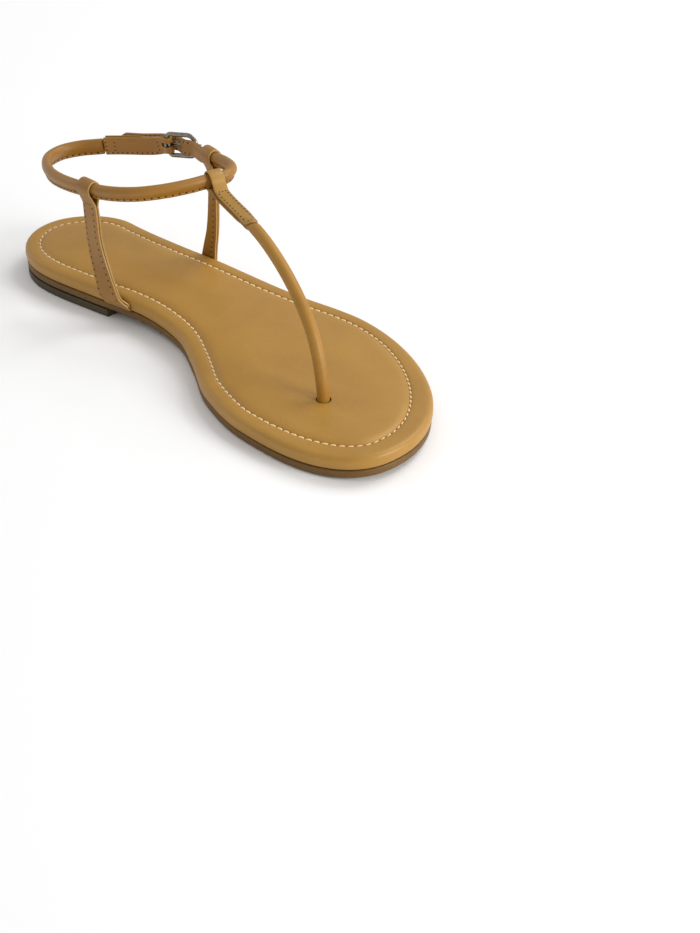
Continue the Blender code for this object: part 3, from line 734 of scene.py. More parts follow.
def sew(name, stitches, seam, solid):
    """One mesh of bent capsules, one for each stitch, each a little different."""
    chance = random.Random(len(stitches))
    sides = steps = seam.sides
    verts, faces, twist = [], [], []
    for stitch in stitches:
        aside = stitch.up.cross(stitch.ahead).normalized()
        tilt = math.radians(seam.lean + chance.uniform(-TILT_VARIES, TILT_VARIES))
        long = stitch.long * chance.uniform(SHORTEST, LONGEST)
        ahead = (stitch.ahead + aside * math.tan(tilt)).normalized()
        aside = stitch.up.cross(ahead).normalized()
        first = len(verts)
        for k in range(steps + 1):
            t = -1 + 2 * k / steps
            radius = seam.thick / 2 * math.sqrt(max(1 - t**4, 0.06))
            arch = seam.lift * (1 - 1.9 * t**4)
            centre = stitch.middle + ahead * (t * long / 2) + stitch.up * arch
            for i in range(sides):
                angle = 2 * math.pi * i / sides
                verts.append(centre + aside * radius * math.cos(angle)
                             + stitch.up * radius * 0.8 * math.sin(angle))
                twist.append(angle * PLIES + t * long / seam.thick * PLY_TWIST)
        starts = [first + k * sides for k in range(steps + 1)]
        for low, high in zip(starts, starts[1:]):
            faces += band(low, high, sides)
        faces += [tuple(range(start, start + sides)) for start in (starts[0], starts[-1])]
    dress(finish_mesh(name, verts, faces, {"twist": twist}), seam.material, solid, False)


def ring_of_stitches(places, pitch, long):
    """Stitches at a steady pitch round a closed line of places."""
    places = places + places[:1]
    knots = chord_knots(places)
    count = round(knots[-1] / pitch)
    step = knots[-1] / count
    made = []
    i = 0
    for k in range(count):
        at = (k + 0.5) * step
        while knots[i + 1] < at:
            i += 1
        share = (at - knots[i]) / (knots[i + 1] - knots[i])
        made.append(Stitch(places[i].lerp(places[i + 1], share),
                           (places[i + 1] - places[i]).normalized(), UP, long))
    return made


# %% Insole stitches
STITCH_PITCH = 3.6
STITCH_LONG = 3.45
GROOVE = Layer(7.0, 5.42, 2.8)
groove_line = [Vector((p.x, p.y, rise(p.y) + INSOLE_BASE + GROOVE.height))
               for p in outline(GROOVE.inset, GROOVE.toe_inset, stations())]
rim_stitches = ring_of_stitches(groove_line, STITCH_PITCH, STITCH_LONG)
sew("insole_stitches", rim_stitches, RIM_SEAM, "insole")
print(len(rim_stitches), "rim stitches")

# %% [markdown]
# ## Outsole and heel lift
#
# The outsole is a 3.6 mm bend of sole leather, stained brown and burnished on its edge, so
# its edge is smooth and a little glossy and its underside is matt. The lift under the heel
# is moulded rubber, nearly black at its edge. Both are cut or moulded with a crisp edge, so
# their layers are stacked as they are, where the insole's are read as a curve.

# %% Sole materials
FIBRE_STRETCH = 9.0
SOLE_RELIEF = 0.08 * MM


def sole_material(name, face, edge, roughness, streak_mm):
    """A sheet whose pressed grain shows as fine level streaks, in two close browns."""
    material, tree = new_material(name)
    place = node(tree, "ShaderNodeTexCoord", {}, {}).outputs["Object"]
    stretched = node(tree, "ShaderNodeMapping", {},
                     {"Vector": place, "Scale": (1.0, 1.0, FIBRE_STRETCH)})
    fibres = node(tree, "ShaderNodeTexNoise", {},
                  {"Vector": stretched, "Scale": PER_METRE / streak_mm, "Detail": 4.0})
    cloud = node(tree, "ShaderNodeTexNoise", {},
                 {"Vector": place, "Scale": PER_METRE / MOTTLE_MM, "Detail": 3.0})
    total = node(tree, "ShaderNodeMath", {"operation": "MULTIPLY_ADD"},
                 {0: cloud, 1: 0.6, 2: fibres})
    share = node(tree, "ShaderNodeMapRange", {},
                 {"Value": total, "From Min": 0.55, "From Max": 1.05})
    stain = node(tree, "ShaderNodeMix", {"data_type": "RGBA"},
                 {"Factor": share, 6: linear(edge), 7: linear(face)})
    bump = node(tree, "ShaderNodeBump", {},
                {"Height": fibres, "Strength": 0.25, "Distance": SOLE_RELIEF})
    surface = node(tree, "ShaderNodeBsdfPrincipled", {},
                   {"Base Color": stain.outputs[2], "Roughness": roughness, "Normal": bump})
    node(tree, "ShaderNodeOutputMaterial", {}, {"Surface": surface})
    return material


# Bend leather, pressed hard and stained: fibres run level in it, drawn 2.4 mm long to show
OUTSOLE_LEATHER = sole_material("brown_stained_sole_leather_burnished", "755214", "5c4010", 0.58,
                                2.4)
# Moulded rubber, dull and even: only faint marks of the mould, at half the leather's scale
LIFT_RUBBER = sole_material("dark_brown_moulded_heel_rubber", "4a3d24", "3b301c", 0.62, 1.2)
print("made", OUTSOLE_LEATHER.name, "and", LIFT_RUBBER.name)

# %% Outsole and heel lift
BREAST_Y = -52.0
OUTSOLE_LAYERS = (Layer(1.7, 0.0), Layer(1.2, 0.1), Layer(0.9, 0.3), Layer(0.55, 0.8),
                  Layer(0.5, 1.6), Layer(0.5, 2.7), Layer(0.62, 3.3), Layer(0.9, 3.6))
LIFT_LAYERS = (Layer(0.9, 0.0), Layer(0.55, 0.3), Layer(0.5, 0.6), Layer(0.5, 2.2),
               Layer(0.5, 3.6), Layer(0.6, 3.8))
outsole = slab("outsole_bend", OUTSOLE_LAYERS, 0.0, rise, stations())
dress(outsole, OUTSOLE_LEATHER, "outsole")
lift = slab("heel_lift_moulded", LIFT_LAYERS, 0.0, lambda y: 0.0, stations(last_y=BREAST_Y),
            has_toe=False)
dress(lift, LIFT_RUBBER, "heel_lift")

# %% [markdown]
# ## Frames and folded straps
#
# A strap could follow a curve object, but then its twist is left to chance. Here each
# place along it has a direction ahead, one across its width and one out of its face. The
# rows are the same few places as in the solids, so the leather lies where its solid lies.
# Four straps are one strip each, folded in two round what it holds: two leaves with rounded
# cut edges and a turn between them.

# %% Frames along a strap
StrapRow = namedtuple("StrapRow", "place width across")
StrapFrame = namedtuple("StrapFrame", "place along out across width left")


def path_frames(rows, step, level=False):
    """Reads a smooth path through strap rows about every step millimetres.

    A strap's width is squared to its path. A level strap keeps its width level instead,
    as a strip does that was cut with a lean.
    """
    places = [Vector(row.place) for row in rows]
    widths = [row.width for row in rows]
    sideways = [row.across for row in rows]
    knots = chord_knots(places)
    frames = []
    for s in steps_along(knots, step):
        along = heading(knots, places, s)
        across = hermite(knots, sideways, s)
        if not level:
            across = across - along * across.dot(along)
        across = across.normalized()
        frames.append(StrapFrame(hermite(knots, places, s), along,
                                 across.cross(along).normalized(), across,
                                 hermite(knots, widths, s), knots[-1] - s))
    return frames


print("each frame holds", ", ".join(StrapFrame._fields))

# %% Folded straps
CUP_LONG = 10.0
CORNER_SHARE = 0.32
TURN_STEPS = 18
Spread = namedtuple("Spread", "distance half")


def leaf_corners(width, thickness, swell):
    """Section of one leaf with rounded cut edges: (across, out, edge) for each point."""
    radius = thickness * CORNER_SHARE
    side, face = width / 2 - radius, thickness / 2

    def corners(sign, pairs):
        """The turned points of one cut edge, where its leather is bare."""
        return [(sign * side + radius * math.cos(math.radians(angle)),
                 height + radius * math.sin(math.radians(angle)), 1.0)
                for height, angles in pairs for angle in angles]

    points = [(share * side, face + swell * (1 - share * share), 0.0)
              for share in (1.0, 0.6, 0.2, -0.2, -0.6, -1.0)]
    points += corners(-1, ((face - radius, (120, 150)), (radius - face, (210, 240))))
    points += [(share * side, -face, 0.0) for share in (-1.0, -0.3, 0.3, 1.0)]
    points += corners(1, ((radius - face, (300, 330)), (face - radius, (30, 60))))
    return points


def folded_leather(name, rows, spreads, depth, thickness, step=1.6, shift=None, reach=None,
                   level=False, swell=0.08, end_round=0.0, end_cup=0.0):
    """A strip folded in two round what it holds; returns the piece, frames and a ruler.

    end_round is the radius that its two free corners are cut to, and end_cup is how far
    its free end hugs what it holds.
    """
    frames = [f for f in path_frames(rows, step, level) if reach is None or f.left <= reach]
    for i, f in enumerate(frames):
        short = max(end_round - (frames[0].left - f.left), 0.0)
        trim = end_round - math.sqrt(end_round**2 - short**2)
        frames[i] = f._replace(width=f.width - 2 * trim)
    knots = [row.distance for row in spreads]
    halves = [row.half for row in spreads]

    def half_spread(distance):
        """Half the room between the leaves' middles at a distance from the fold."""
        return hermite(knots, halves, distance, True) if distance < knots[-1] else halves[-1]

    def cup(left, across_mm):
        """How far the leaf bends inwards there: only near its free end, most at its edges."""
        near_end = smooth_step(1 - (frames[0].left - left) / CUP_LONG)
        return end_cup * near_end * (2 * across_mm / rows[0].width)**2

    leaf = [(f.place + f.out * half_spread(f.left), f.across, f.width, f.left) for f in frames]
    last = frames[-1]
    for k in range(1, TURN_STEPS):
        angle = math.pi * k / TURN_STEPS
        place = (last.place + last.out * halves[0] * math.cos(angle)
                 + last.along * depth * math.sin(angle))
        leaf.append((place, last.across, last.width, -depth * math.sin(angle)))
    leaf += [(f.place - f.out * half_spread(f.left), f.across, f.width, f.left)
             for f in reversed(frames)]
    rings = []
    numbers = {"run": [], "over": [], "edge": [], "near_a": [], "near_b": []}
    for i, (place, across, width, left) in enumerate(leaf):
        before, after = leaf[max(i - 1, 0)][0], leaf[min(i + 1, len(leaf) - 1)][0]
        normal = across.cross((after - before).normalized()).normalized()
        section = leaf_corners(width, thickness, swell)
        ring = [place + across * a + normal * (n - cup(left, a)) for a, n, _ in section]
        rings.append([shift(point) if shift else point for point in ring])
        numbers["run"].append([left] * len(section))
        numbers["over"].append([a for a, _, _ in section])
        numbers["edge"].append([cut for _, _, cut in section])
        numbers["near_a"].append([width / 2 - a for a, _, _ in section])
        numbers["near_b"].append([width / 2 + a for a, _, _ in section])

    def on_leaf(frame_, across_mm, side):
        """A place on the outer face of one leaf."""
        away = half_spread(frame_.left) + thickness / 2 - cup(frame_.left, across_mm)
        point = frame_.place + frame_.out * (side * away) + frame_.across * across_mm
        return shift(point) if shift else point

    return skin(name, rings, numbers), frames, on_leaf


print("the fold turns in", TURN_STEPS, "steps")

# %% Seams of a folded strap
THREAD_SHARE = 0.74


def even_marks(row):
    """Middles of the stitches between needle holes that lie at whole pitches."""
    first, last = math.ceil(row.start / row.pitch - 0.5), math.floor(row.end / row.pitch - 0.5)
    return [(k + 0.5) * row.pitch for k in range(first, last + 1)]


def between(frames, left):
    """The two frames round a distance from the fold, and the share between them."""
    for low, high in zip(frames, frames[1:]):
        if low.left >= left >= high.left:
            return low, high, (low.left - left) / max(low.left - high.left, 1e-6)
    return frames[-1], frames[-1], 0.0


def sew_rows(frames, on_leaf, rows):
    """Stitches for both leaves of a folded strap, between the pits of the same rows."""
    made = []
    for row in rows:
        for side in (1, -1):
            for mark in even_marks(row):
                left = row.level if row.line == "run" else mark
                low, high, share = between(frames, left)
                places = []
                for f in (low, high):
                    half = f.width / 2
                    a = {"near_a": half - row.level, "near_b": row.level - half}.get(row.line, mark)
                    places.append(on_leaf(f, a, side))
                ahead = low.across if row.line == "run" else (places[0] - places[1]).normalized()
                if ahead.length:
                    made.append(Stitch(places[0].lerp(places[1], share), ahead,
                                       low.out.lerp(high.out, share).normalized() * side,
                                       THREAD_SHARE * row.pitch))
    return made


print("a fine stitch covers", THREAD_SHARE, "of its pitch")

# %% [markdown]
# ## Toe strap and its tab
#
# The toe strap is a round roll: calf sewn round a cord. It comes up out of the toe hole,
# arches back over the foot and ends as a flat tongue. A folded tab clasps that tongue,
# and its fold holds the front of the ankle strap. A curve with a round bevel would give
# the roll, but not the tongue or the seam. So it is skinned, with a seam groove on its
# underside, where the leather's two edges meet.

# %% The toe strap's path
TAB_FOLD = Vector((-12.2, -17.6, 0.0))
ANKLE_Z = 60.3
ANKLE_Z_AT_Y = -65.2
ANKLE_SLOPE = 0.166
TAB_WIDTH = 6.4
TAB_ACROSS = (TAB_FOLD - TOE_HOLE).cross(UP).normalized()
ToeRow = namedtuple("ToeRow", "y z")


def ankle_z(y):
    """Height of the ankle strap's middle line over a place along the foot."""
    return ANKLE_Z + ANKLE_SLOPE * (y - ANKLE_Z_AT_Y)


def plan_x(y):
    """Seen from above, the toe strap runs straight from its hole to the tab's fold."""
    share = (TOE_HOLE.y - y) / (TOE_HOLE.y - TAB_FOLD.y)
    return TOE_HOLE.x + (TAB_FOLD.x - TOE_HOLE.x) * share


TOE_STRAP_ROWS = (
    ToeRow(78.8, 4.2), ToeRow(78.8, 9.0), ToeRow(78.3, 14.5), ToeRow(76.6, 22.0),
    ToeRow(73.4, 31.0), ToeRow(68.6, 38.8), ToeRow(61.8, 45.5), ToeRow(51.5, 52.4),
    ToeRow(40.5, 57.4), ToeRow(29.5, 60.8), ToeRow(18.5, 62.6), ToeRow(7.0, 63.3),
    ToeRow(-3.0, 63.8), ToeRow(-9.5, 64.6), ToeRow(-13.2, 66.7), ToeRow(-15.6, 67.9),
    ToeRow(TAB_FOLD.y, ankle_z(TAB_FOLD.y)))
toe_rows = [StrapRow(Vector((plan_x(row.y), row.y, row.z)), TAB_WIDTH, TAB_ACROSS)
            for row in TOE_STRAP_ROWS]
print("toe strap", round(chord_knots([row.place for row in toe_rows])[-1], 1), "mm to its fold")

# %% Toe strap
TOE_STRAP_STEP = 0.9
TOE_STRAP_RADIUS = 2.65
TONGUE_HALF = 0.45
TONGUE_END = 9.5
TONGUE_START = 36.0
TONGUE_WIDER = 0.4
ROLL_END = 41.2
ROLL_SIDES = 32
SEAM_DEPTH = 0.35
SEAM_TURN = 9.0
SEAM_SHADE = 0.8
SHADE_TURN = 8.0
rings, shades = [], []
for f in path_frames(toe_rows, TOE_STRAP_STEP):
    if f.left < TONGUE_END:
        break
    flat = smooth_step((ROLL_END - f.left) / (ROLL_END - TONGUE_START))
    thick = TOE_STRAP_RADIUS + (TONGUE_HALF - TOE_STRAP_RADIUS) * flat
    wide = TOE_STRAP_RADIUS + TONGUE_WIDER * flat
    ring, shade = [], []
    for k in range(ROLL_SIDES):
        angle = 2 * math.pi * k / ROLL_SIDES
        below = math.degrees(math.acos(max(-1.0, min(1.0, -math.sin(angle)))))
        groove = SEAM_DEPTH * math.exp(-(below / SEAM_TURN)**2) * (1 - flat)
        ring.append(f.place + f.across * (wide * math.cos(angle))
                    + f.out * ((thick - groove) * math.sin(angle)))
        shade.append(SEAM_SHADE * math.exp(-(below / SHADE_TURN)**2) * (1 - flat))
    rings.append(ring)
    shades.append(shade)

# Rolled calf, handled most: duller than the flat leather, and dark along its burnished seam
STRAP_CALF = calf("tan_calf_rolled_strap", "ab7b22", "9d6d1a", 0.52, "57390f", wax=0.06)
dress(skin("toe_strap_roll", rings, {"edge": shades}), STRAP_CALF, "toe_strap")

# %% Tab
ROLL_TALL = 6.6
ROLL_THICK = 4.7
TAB_LONG = 38.5
TAB_LEAF = 0.8
TAB_HALF_SPREAD = TONGUE_HALF + GAP + TAB_LEAF / 2
TAB_DEPTH = ROLL_THICK / 2 + 1.6 * GAP + TAB_LEAF / 2
TAB_SPREADS = (Spread(0.0, ROLL_TALL / 2 + 2 * GAP + TAB_LEAF / 2), Spread(1.3, 4.15),
               Spread(2.6, 3.4), Spread(4.4, 2.2), Spread(6.8, 1.4),
               Spread(9.5, TAB_HALF_SPREAD), Spread(33.0, TAB_HALF_SPREAD), Spread(39.0, 2.0))
EDGE_IN = 1.1
FINE_PITCH = 2.6
TAB_CROSS_PITCH = 1.45
TAB_SEAM_START = 8.6
TAB_SEAM_END = 36.0
TAB_ROWS = (Row("near_a", EDGE_IN, "run", TAB_SEAM_START, TAB_SEAM_END, FINE_PITCH),
            Row("near_b", EDGE_IN, "run", TAB_SEAM_START, TAB_SEAM_END, FINE_PITCH),
            Row("run", TAB_SEAM_START, "over", -2.2, 2.2, TAB_CROSS_PITCH),
            Row("run", 36.9, "over", -1.6, 1.6, TAB_CROSS_PITCH))

# Flat calf under full wax: the glossiest tan of the shoe, its cut edges only a little darker
TAB_CALF = calf("tan_calf_folded_tab", "ac7f2a", "a07424", 0.46, "9c7636", TAB_ROWS)
tab, tab_frames, on_tab = folded_leather("t_tab_fold", toe_rows, TAB_SPREADS, TAB_DEPTH, TAB_LEAF,
                                         step=0.5, reach=TAB_LONG, end_round=2.2, end_cup=1.2)
dress(tab, TAB_CALF, "t_tab")
sew("t_tab_stitches", sew_rows(tab_frames, on_tab, TAB_ROWS), FINE_SEAM._replace(lift=0.06),
    "t_tab")

# %% [markdown]
# ## Side straps
#
# Each side strap is one strip folded over the ankle strap, with its two ends glued
# together, sewn, and tucked between the insole and the outsole. Seen on edge it shows two
# leather layers with a dark line between them. One solid strap with a painted line would
# be quicker, but the line has to be a real gap to stay dark from every side.

# %% Side straps
LEAF = 0.9
LEAF_HALF_SPREAD = (LEAF + GAP) / 2
ROLL_CORE_UP = 0.9
FOOT_BEND = 2.4
FOOT_BEND_STEPS = 4
SIDE_LOOP_DEPTH = 3.6
SideRow = namedtuple("SideRow", "y z x width skew")
FIN_SPREADS = (Spread(0.0, 3.2), Spread(1.3, 3.1), Spread(2.8, 2.45), Spread(4.4, 1.8),
               Spread(8.0, LEAF_HALF_SPREAD))
ARCH_STRAP_ROWS = (
    SideRow(-46.3, 13.6, 26.6, 12.4, -0.21), SideRow(-50.0, 19.0, 25.9, 11.0, -0.18),
    SideRow(-55.2, 27.4, 24.5, 10.6, -0.08),
    SideRow(-57.6, 38.4, 24.6, 9.4, -0.04), SideRow(-57.2, 50.4, 25.3, 9.0, -0.05),
    SideRow(-57.7, ankle_z(-57.7) + ROLL_CORE_UP, 25.5, 7.8, -0.05))
OUTER_STRAP_ROWS = (
    SideRow(-45.7, 18.6, -31.9, 7.6, -0.1), SideRow(-43.2, 28.6, -31.6, 6.9, 0.0),
    SideRow(-41.7, 42.6, -31.4, 6.5, 0.08), SideRow(-41.5, 52.6, -31.4, 6.5, 0.13),
    SideRow(-42.8, ankle_z(-42.8) + ROLL_CORE_UP, -31.65, 7.2, 0.14))
SIDE_PITCH = 2.9
SIDE_SEAM_START = 7.0
SIDE_SEAM_SHORT = 11.0
CROSS_HALF = 2.2
CROSS_PITCH = 1.4
FRONT_SEAM_IN = 2.2
BACK_SEAM_IN = 1.1
LEVEL_FOOT_Z = 12.0
LEVEL_FOOT_EASE = 6.0


def side_strap(solid, foot, body, back_seam):
    """One folded side strap with its seams; back_seam adds the row near its back edge."""
    name = solid + "_fold"
    wall, away, wall_skew = foot_axes(foot)
    mid = LEAF_HALF_SPREAD + LEAF / 2
    foot_z = rise(foot.y) + INSOLE_BASE + mid

    def across(skew):
        """The way across the strap, level and leaning forward by its skew."""
        return Vector((skew, 1.0, 0.0)) * foot.outward

    bend = [(-FOOT_TUCK, foot_z)]
    for k in range(FOOT_BEND_STEPS + 1):
        angle = math.pi / 2 * k / FOOT_BEND_STEPS
        bend.append((GAP + mid - FOOT_BEND * (1 - math.sin(angle)),
                     foot_z + FOOT_BEND * (1 - math.cos(angle))))
    rows = [StrapRow(wall + away * off + UP * z, foot.width, across(wall_skew)) for off, z in bend]
    rows += [StrapRow(Vector((row.x, row.y, row.z)), row.width, across(row.skew)) for row in body]

    def follow_sole(point):
        """Keeps the foot's width level with the sole, which climbs towards the heel there."""
        share = 1 - smooth_step((point.z - LEVEL_FOOT_Z) / LEVEL_FOOT_EASE)
        return point + UP * (rise(point.y) - rise(foot.y)) * share

    seam_end = chord_knots([row.place for row in rows])[-1] - SIDE_SEAM_SHORT
    front, back = ("near_a", "near_b") if foot.outward > 0 else ("near_b", "near_a")
    seam_rows = [Row(front, FRONT_SEAM_IN, "run", SIDE_SEAM_START, seam_end, SIDE_PITCH),
                 Row("run", SIDE_SEAM_START, "over", -CROSS_HALF, CROSS_HALF, CROSS_PITCH)]
    if back_seam:
        seam_rows.append(Row(back, BACK_SEAM_IN, "run", SIDE_SEAM_START, seam_end, SIDE_PITCH))

    # Calf pared thin and glued flesh to flesh: brown faces, and pale raw fibres on the cut edge
    leather = calf("tan_calf_" + name, "9e6e20", "91621a", 0.5, "b1894a", seam_rows)
    piece, frames, on_leaf = folded_leather(name, rows, FIN_SPREADS, SIDE_LOOP_DEPTH, LEAF,
                                            shift=follow_sole, level=True)
    dress(piece, leather, solid)
    sew(name + "_stitches", sew_rows(frames, on_leaf, seam_rows), FINE_SEAM, solid)


side_strap("side_strap_medial", ARCH_FOOT, ARCH_STRAP_ROWS, True)
side_strap("side_strap_lateral", OUTER_FOOT, OUTER_STRAP_ROWS, False)

# %% [markdown]
# ## Ankle strap
#
# The ankle strap is rolled round a cord like the toe strap, but its seam allowance is left
# on as a thin fin below the roll, with a row of stitches through it. At the outer ankle it
# flattens into a two-ply billet that passes through the buckle. It could be several pieces
# joined, but it is one strip on the real shoe. So it is one skin, and each row says how
# flat, how tall and how thick the section is there.

# %% The ankle strap's path
HINGE = Vector((-31.6, -73.1, 60.6))
FRAME_END = Vector((-32.4, -57.8, 63.3))
BUCKLE_ALONG = (FRAME_END - HINGE).normalized()
BUCKLE_OUT = UP.cross(BUCKLE_ALONG).normalized()
BUCKLE_UP = BUCKLE_ALONG.cross(BUCKLE_OUT)
BILLET_TALL = 7.0
BILLET_THICK = 1.8
BILLET_DROP = 0.7
AnkleRow = namedtuple("AnkleRow", "place flat tall thick")


def at_buckle(along, out, up=0.0):
    """A place measured from the buckle's hinge bar: towards the toe, outwards and up."""
    return HINGE + BUCKLE_ALONG * along + BUCKLE_OUT * out + BUCKLE_UP * up


def fin_drop(flat, tall):
    """How far a taller fin takes the section's middle down: it only reaches further down."""
    return 0.0 if flat > 0.5 else (tall - ROLL_TALL) / 2


def ankle_row(x, y, flat=0.0, tall=ROLL_TALL, thick=ROLL_THICK):
    """A row in the strap's own sloping plane."""
    return AnkleRow(Vector((x, y, ankle_z(y) - fin_drop(flat, tall))), flat, tall, thick)


def billet_row(place, tall=BILLET_TALL):
    """A row of the flat two-ply end."""
    return AnkleRow(place, 1.0, tall, BILLET_THICK)


def tail_row(x, y, tall=BILLET_TALL):
    """A row of the billet behind the buckle, where it hangs a little under the strap's plane."""
    return billet_row(Vector((x, y, ankle_z(y) - BILLET_DROP)), tall)


TONGUE_ROWS = (ankle_row(-26.2, -90.1, 1.0, 5.8, 0.9), ankle_row(-22.2, -98.3, 1.0, 5.8, 0.9),
               ankle_row(-18.3, -105.3, 1.0, 6.0, 0.9))
ROLL_ROWS = (
    ankle_row(-17.95, -105.75, 0.0, 7.6, 4.5), ankle_row(-10.5, -113.2, 0.0, 7.6),
    ankle_row(-1.5, -116.1, 0.0, 7.4), ankle_row(8.0, -112.6, 0.0, 7.4),
    ankle_row(16.0, -102.9, 0.0, 7.4), ankle_row(21.8, -90.9, 0.0, 7.2),
    ankle_row(25.0, -75.9, 0.0, 6.9), ankle_row(25.6, -59.0), ankle_row(23.4, -44.0),
    ankle_row(17.8, -33.0), ankle_row(9.0, -25.4), ankle_row(-1.0, -20.6),
    ankle_row(-10.0, -18.3), ankle_row(-18.0, -16.0), ankle_row(-25.0, -20.5),
    ankle_row(-29.6, -30.5), ankle_row(-31.6, -42.5), ankle_row(-32.4, -50.0, 0.55, 6.8, 3.2))
BILLET_ROWS = (
    billet_row(at_buckle(15.5, 1.3, -0.4)), billet_row(at_buckle(10.5, 1.2, -0.4)),
    billet_row(at_buckle(7.2, 2.0, -0.4)), billet_row(at_buckle(3.0, 3.7, -0.4)),
    billet_row(at_buckle(-2.0, 4.1, -0.4)), billet_row(at_buckle(-10.0, 4.4, -1.0)),
    tail_row(-33.4, -94.9), tail_row(-30.4, -103.6), tail_row(-29.4, -105.9, 4.4))
ANKLE_ROWS = TONGUE_ROWS + ROLL_ROWS + BILLET_ROWS
ANKLE_PLACES = [row.place for row in ANKLE_ROWS]
ANKLE_KNOTS = chord_knots(ANKLE_PLACES)
print("ankle strap", round(ANKLE_KNOTS[-1], 1), "mm long")

# %% The ankle strap's section
CORE_UP = 0.144
CORE_HALF = 0.356
Half = namedtuple("Half", "out up")
FIN_HALF = (Half(0.235, -0.22), Half(0.19, -0.29), Half(0.18, -0.36), Half(0.18, -0.45),
            Half(0.13, -0.49), Half(0.0, -0.5))
ROLL_HALF = tuple(Half(0.5 * math.sin(math.radians(turn)),
                       CORE_UP + CORE_HALF * math.cos(math.radians(turn)))
                  for turn in range(0, 141, 14)) + FIN_HALF
FLAT_HALF = (Half(0.0, 0.5), Half(0.2, 0.5), Half(0.38, 0.492), Half(0.46, 0.475),
             Half(0.5, 0.44), Half(0.5, 0.37), Half(0.5, 0.29), Half(0.5, 0.2),
             Half(0.5, 0.1), Half(0.5, 0.0), Half(0.5, -0.1), Half(0.5, -0.18),
             Half(0.5, -0.26), Half(0.5, -0.33), Half(0.5, -0.4), Half(0.46, -0.475),
             Half(0.0, -0.5))
AnkleFrame = namedtuple("AnkleFrame", "place along out up flat tall thick")


def ankle_frame(t):
    """Place, axes and section of the ankle strap at a distance t along it."""
    along = heading(ANKLE_KNOTS, ANKLE_PLACES, t)
    up = (UP - along * UP.dot(along)).normalized()
    i = 0
    while i < len(ANKLE_KNOTS) - 2 and t > ANKLE_KNOTS[i + 1]:
        i += 1
    ease = smooth_step((t - ANKLE_KNOTS[i]) / (ANKLE_KNOTS[i + 1] - ANKLE_KNOTS[i]))
    sizes = [a + (b - a) * ease for a, b in zip(ANKLE_ROWS[i][1:], ANKLE_ROWS[i + 1][1:])]
    return AnkleFrame(hermite(ANKLE_KNOTS, ANKLE_PLACES, t), along, along.cross(up), up, *sizes)


def cut_edge(out, up, f):
    """Nearly 1 on a cut edge: under the fin, and above and below where the strap is flat."""
    if abs(up) > 0.47 * f.tall and (f.flat > 0.5 or up < 0):
        return 0.9 * max(0.0, 1 - abs(out) / 0.25)
    return 0.0


print("section of", 2 * len(ROLL_HALF) - 2, "points")

# %% Ankle strap
ANKLE_STEP = 1.6
FIN_SEAM = -2.2
FIN_PITCH = 3.0
FIN_SEAM_REACH = 0.21
BILLET_SEAM = 2.5
PRONG_HOLE = (6.2, 6.0, 2.0)
rings = []
numbers = {"run": [], "over": [], "edge": []}
for t in steps_along(ANKLE_KNOTS, ANKLE_STEP):
    f = ankle_frame(t)
    half = [((roll.out * (1 - f.flat) + plain.out * f.flat) * f.thick,
             (roll.up * (1 - f.flat) + plain.up * f.flat) * f.tall)
            for roll, plain in zip(ROLL_HALF, FLAT_HALF)]
    section = half + [(-out, up) for out, up in reversed(half[1:-1])]
    rings.append([f.place + f.out * out + f.up * up for out, up in section])
    numbers["run"].append([t] * len(section))
    numbers["over"].append([up + fin_drop(f.flat, f.tall) for _, up in section])
    numbers["edge"].append([cut_edge(out, up, f) for out, up in section])
roll_start = ANKLE_KNOTS[len(TONGUE_ROWS)] + 1.0
billet_start = ANKLE_KNOTS[len(TONGUE_ROWS + ROLL_ROWS)]
roll_end = ANKLE_KNOTS[len(TONGUE_ROWS + ROLL_ROWS) - 1]
billet_end = ANKLE_KNOTS[-1] - 2.0
ANKLE_SEAMS = (Row("over", FIN_SEAM, "run", roll_start, roll_end, FIN_PITCH),
               Row("over", BILLET_SEAM, "run", billet_start, billet_end, FIN_PITCH),
               Row("over", -BILLET_SEAM, "run", billet_start, billet_end, FIN_PITCH))

# Rolled calf against the ankle: a shade browner than the toe strap, with a dark fin edge
ANKLE_CALF = calf("tan_calf_rolled_ankle_strap", "9e6e1e", "906218", 0.5, "57390f", ANKLE_SEAMS,
                  wax=0.08)
ankle = skin("ankle_strap_roll", rings, numbers)
hole = axes_matrix(BUCKLE_ALONG, BUCKLE_OUT, BUCKLE_UP, at_buckle(4.6, 2.9, -0.1))
cut_out(ankle, "prong_hole", box(PRONG_HOLE), hole)
dress(ankle, ANKLE_CALF, "ankle_strap")

# %% The ankle strap's stitches
stitches = []
for row in ANKLE_SEAMS:
    for t in even_marks(row):
        f = ankle_frame(t)
        reach = (FIN_SEAM_REACH * (1 - f.flat) + 0.5 * f.flat) * f.thick
        height = f.up * (row.level - fin_drop(f.flat, f.tall))
        for side in (1, -1):
            stitches.append(Stitch(f.place + f.out * (side * reach) + height, f.along,
                                   f.out * side, THREAD_SHARE * row.pitch))
sew("ankle_strap_stitches", stitches, FINE_SEAM, "ankle_strap")

# %% [markdown]
# ## Buckle
#
# A small pin buckle: a bent wire frame, a prong that turns round its straight hinge bar,
# and a leather end piece folded round that bar. The metal is plated zinc with a dull
# pewter colour, polished by tumbling, so it keeps soft, slightly wavy reflections. Its colour
# goes darker in slow patches, which are painted reflections of a darker room than the white
# studio. A curve with a bevel would make round wire, but this wire is flattened and the
# prong tapers, so both are skinned along their middle line.

# %% Plated metal
WEAR_AND_REFLECTION_MM = 2.0
DENT_DEPTH = 0.05 * MM

